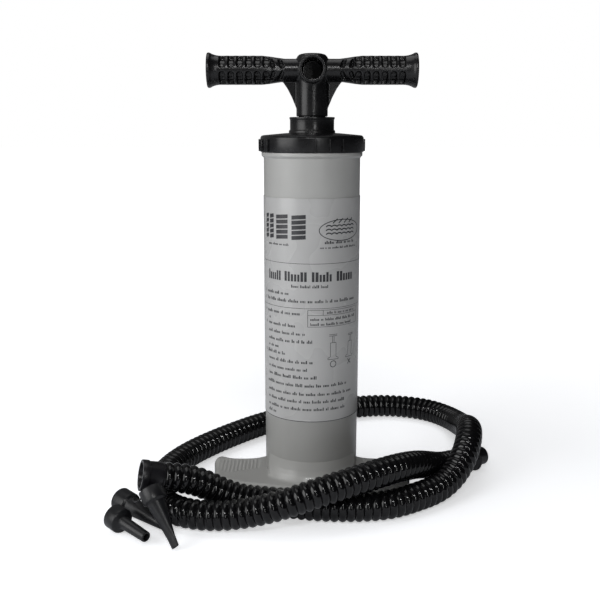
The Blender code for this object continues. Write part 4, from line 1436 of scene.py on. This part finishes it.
# ---------------------------------------------------------------------------- handle and rod
@dataclass
class Handle:
    """The T-handle with its pocketed grips and port tube, and the rod below it.

    Attributes:
        axis: height of the grips' axis.
        half: half the handle's length.
        grip: radius of the grips.
        neck: radius next to the hub.
        flange: radius of the end flanges.
        stem: radius of the stem.
        stem_low: height of the stem's lower end.
        port: outside of the port tube.
        port_bore: bore of the port tube.
        port_half: half the port tube's length.
        pitch: from pocket to pocket.
        pocket: width of a pocket.
        spine: width of the rib between the two rows of pockets.
    """

    axis: float = 0.4635
    half: float = 0.1110
    grip: float = 0.0150
    neck: float = 0.0118
    flange: float = 0.0182
    stem: float = 0.01675
    stem_low: float = 0.4155
    port: float = 0.0142
    port_bore: float = 0.01075
    port_half: float = 0.0340
    pitch: float = 0.00925
    pocket: float = 0.0064
    spine: float = 0.0036

    def build(self) -> None:
        """Builds the handle, its end plugs and the rod."""
        handle = self._solid()
        combine(handle, self._bores(), "DIFFERENCE", "MANIFOLD")
        combine(handle, self._pockets(), "DIFFERENCE", "MANIFOLD")
        mould(handle, 0.00062, 8, 0.42)
        finish_piece(handle, GLOSS_BLACK, Body.PLUNGER, "black_gloss", "handle_body")
        for side, node in ((Side.LEFT, "grip_plug_left"), (Side.RIGHT, "grip_plug_right")):
            turn = Matrix.Rotation(math.radians(90 * side.value), 4, "Y")
            place = Matrix.Translation((side.value * self.half, 0, self.axis)) @ turn
            plug = lathe(node.replace("grip_plug", "end_plug"), [
                (0.0, -0.0004), (0.0030, -0.0004), (0.0034, 0.0), (0.0068, 0.0), (0.0077, -0.0010),
                (0.0077, -0.0060), (0.0, -0.0060),
            ], 64, 0.0003, place)
            finish_piece(plug, GLOSS_BLACK, Body.PLUNGER, "black_gloss", node)
        rod = lathe("hollow_rod", [
            (ROD_RADIUS, 0.4440), (ROD_RADIUS, 0.0513), (ROD_BORE, 0.0513), (ROD_BORE, 0.4440),
        ], 96, 0.0003)
        finish_piece(rod, BRIGHT_STEEL, Body.PLUNGER, "rod_steel", "rod_tube")

    def _along_grip(self) -> Matrix:
        """Gives the placement that lays local Z along the grips."""
        return Matrix.Translation((0, 0, self.axis)) @ Matrix.Rotation(math.radians(90), 4, "Y")

    def _solid(self) -> bpy.types.Object:
        """Joins the grips, stem, port tube and gussets into one solid."""
        h, z = self.half, self.axis
        half = [
            (self.neck, 0.0), (self.neck, 0.0290), (self.neck + 0.0012, 0.0380),
            (self.grip - 0.0006, 0.0470), (self.grip, 0.0540), (self.grip, h - 0.0120), (self.grip + 0.0006, h - 0.0085),
            (self.grip + 0.0018, h - 0.0050), (self.flange, h - 0.0028), (self.flange, h - 0.0004),
            (self.flange - 0.0006, h),
        ]
        profile = [(0.0, h), *half[::-1], *((r, -x) for r, x in half[1:]), (0.0, -h)]
        handle = lathe("t_handle", profile, 72, 0.0, self._along_grip())
        top = z + 0.0170
        stem = lathe("stem", [
            (0.0, top), (self.stem - 0.0070, top), (self.stem - 0.0030, top - 0.0010),
            (self.stem - 0.0008, top - 0.0030), (self.stem, top - 0.0060), (self.stem, self.stem_low),
            (0.0, self.stem_low),
        ], 72, 0.0)
        port = bar("port", (0, -self.port_half, z), (0, self.port_half, z), self.port, 72)
        web = [
            (0.0322, z - 0.0105), (0.0262, z - 0.0190), (0.0215, z - 0.0280), (0.0165, z - 0.0400),
            (-0.0165, z - 0.0400), (-0.0215, z - 0.0280), (-0.0262, z - 0.0190),
            (-0.0322, z - 0.0105), (-0.0300, z - 0.0040), (0.0300, z - 0.0040),
        ]
        gusset = slab("gusset", web, -0.0021, 0.0021)
        put(gusset, Matrix.Rotation(math.radians(90), 4, "X"))
        return combine(handle, [stem, port, gusset], "UNION")

    def _bores(self) -> list[bpy.types.Object]:
        """Makes the cutters of the rod's socket, both ports and the end sockets."""
        z = self.axis
        front = bar("front_bore", (0, -0.06, z), (0, 0.0075, z), self.port_bore, 72)
        back = bar("back_bore", (0, 0.0105, z), (0, 0.06, z), self.port_bore, 72)
        rod = bar("rod_room", (0, 0, 0.39), (0, 0, z - 0.0160), 0.0143, 64)
        roof = bar("roof_hole", (0, 0, z - 0.02), (0, 0, z - 0.004), 0.0072, 48)
        ends = [
            bar("end_socket", (side.value * 0.036, 0, z), (side.value * 0.13, 0, z), 0.0080, 48)
            for side in Side
        ]
        return [front, back, rod, roof, *ends]

    def _pockets(self) -> list[bpy.types.Object]:
        """Makes the cutters of the pockets in both grips, the inner ones small and slanted."""
        cutters = []
        for side in Side:
            for i in range(8):
                x = self.half - 0.0165 - self.pitch * i
                small = i >= 6
                reach = self.grip - (0.0050 if not small else 0.0058)
                wide = self.pocket if not small else self.pocket * 0.62
                edge = self.spine / 2
                for flip in (1, -1):
                    for front in (-1, 1):
                        cutters += self._pocket(
                            side.value * x, wide, reach, edge, small, flip, front, side.value)
        return cutters

    def _pocket(
        self, x: float, wide: float, reach: float, edge: float, small: bool, flip: int, front: int,
        side: int,
    ) -> list[bpy.types.Object]:
        """Makes one pocket's cutters, a wedge up to near the top and a round end near the spine.

        Args:
            x: where it is along the handle.
            wide: its width.
            reach: radius of its floor.
            edge: half the spine's width.
            small: whether it is one of the small slanted ones.
            flip: 1 above the spine, -1 below it.
            front: -1 on the front, 1 on the back.
            side: -1 on the left grip, 1 on the right.

        Returns:
            The wedge and the round end.
        """
        outer = self.grip + 0.0040
        low = edge + wide / 2
        end = math.radians(86 if not small else 60)
        outline = [(outer, low)]
        for i in range(7):
            t = math.asin(low / outer) + (end - math.asin(low / outer)) * (i + 1) / 7
            outline.append((math.cos(t) * outer, math.sin(t) * outer))
        for i in range(8):
            t = end + (math.asin(low / reach) - end) * i / 7
            outline.append((math.cos(t) * reach, math.sin(t) * reach))
        piece = slab("pocket", outline, -wide / 2, wide / 2)
        slant = math.radians(24.0 * side * flip) if small else 0.0
        turn = Matrix(((0, 0, 1, 0), (front, 0, 0, 0), (0, flip, 0, 0), (0, 0, 0, 1)))
        place = Matrix.Translation((x, 0, self.axis)) @ Matrix.Rotation(slant, 4, "Y")
        put(piece, place @ turn)
        tidy(piece)
        floor = math.sqrt(reach**2 - low**2)
        inner_end, outer_end = ((0, front * y, flip * low) for y in (floor, outer))
        round_end = bar("pocket_end", inner_end, outer_end, wide / 2, 20)
        put(round_end, place)
        return [piece, round_end]


# ---------------------------------------------------------------------------- carried-over pieces
@dataclass
class InnerParts:
    """The CAD nodes that keep their own shape: seals, piston and valves.

    Attributes:
        finishes: the nodes that get each finish.
    """

    finishes: dict[Finish, tuple[str, ...]] = field(default_factory=lambda: {
        DARK_RUBBER: (
            "cap_gasket", "rod_wiper_seal", "bumper_ring", "piston_seal", "intake_valve_upper",
            "intake_valve_lower", "outlet_valve_upper", "outlet_valve_lower",
        ),
        WHITE_PLASTIC: ("rod_guide_bush", "air_tube"),
        BRIGHT_STEEL: ("rod_screw", "piston_screw_1", "piston_screw_2", "piston_screw_3"),
        PISTON_BLACK: ("piston_upper_plate", "piston_chest", "piston_lower_plate"),
    })

    def dress(self) -> None:
        """Gives each node its finish."""
        for finish, nodes in self.finishes.items():
            for node in nodes:
                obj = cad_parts[node]
                if obj.material_slots:
                    obj.material_slots[0].material = finish.material()
                else:
                    obj.data.materials.append(finish.material())
                LOG.info("%s keeps its shape", node)


def main() -> None:
    """Builds the camera, the cords and then the rest, in order."""
    logging.basicConfig(level=logging.INFO, format="%(name)s: %(message)s")
    Studio().build()
    Hose().build()
    Barrel().build()
    Cap().build()
    Handle().build()
    InnerParts().dress()


if __name__ == "__main__":
    main()
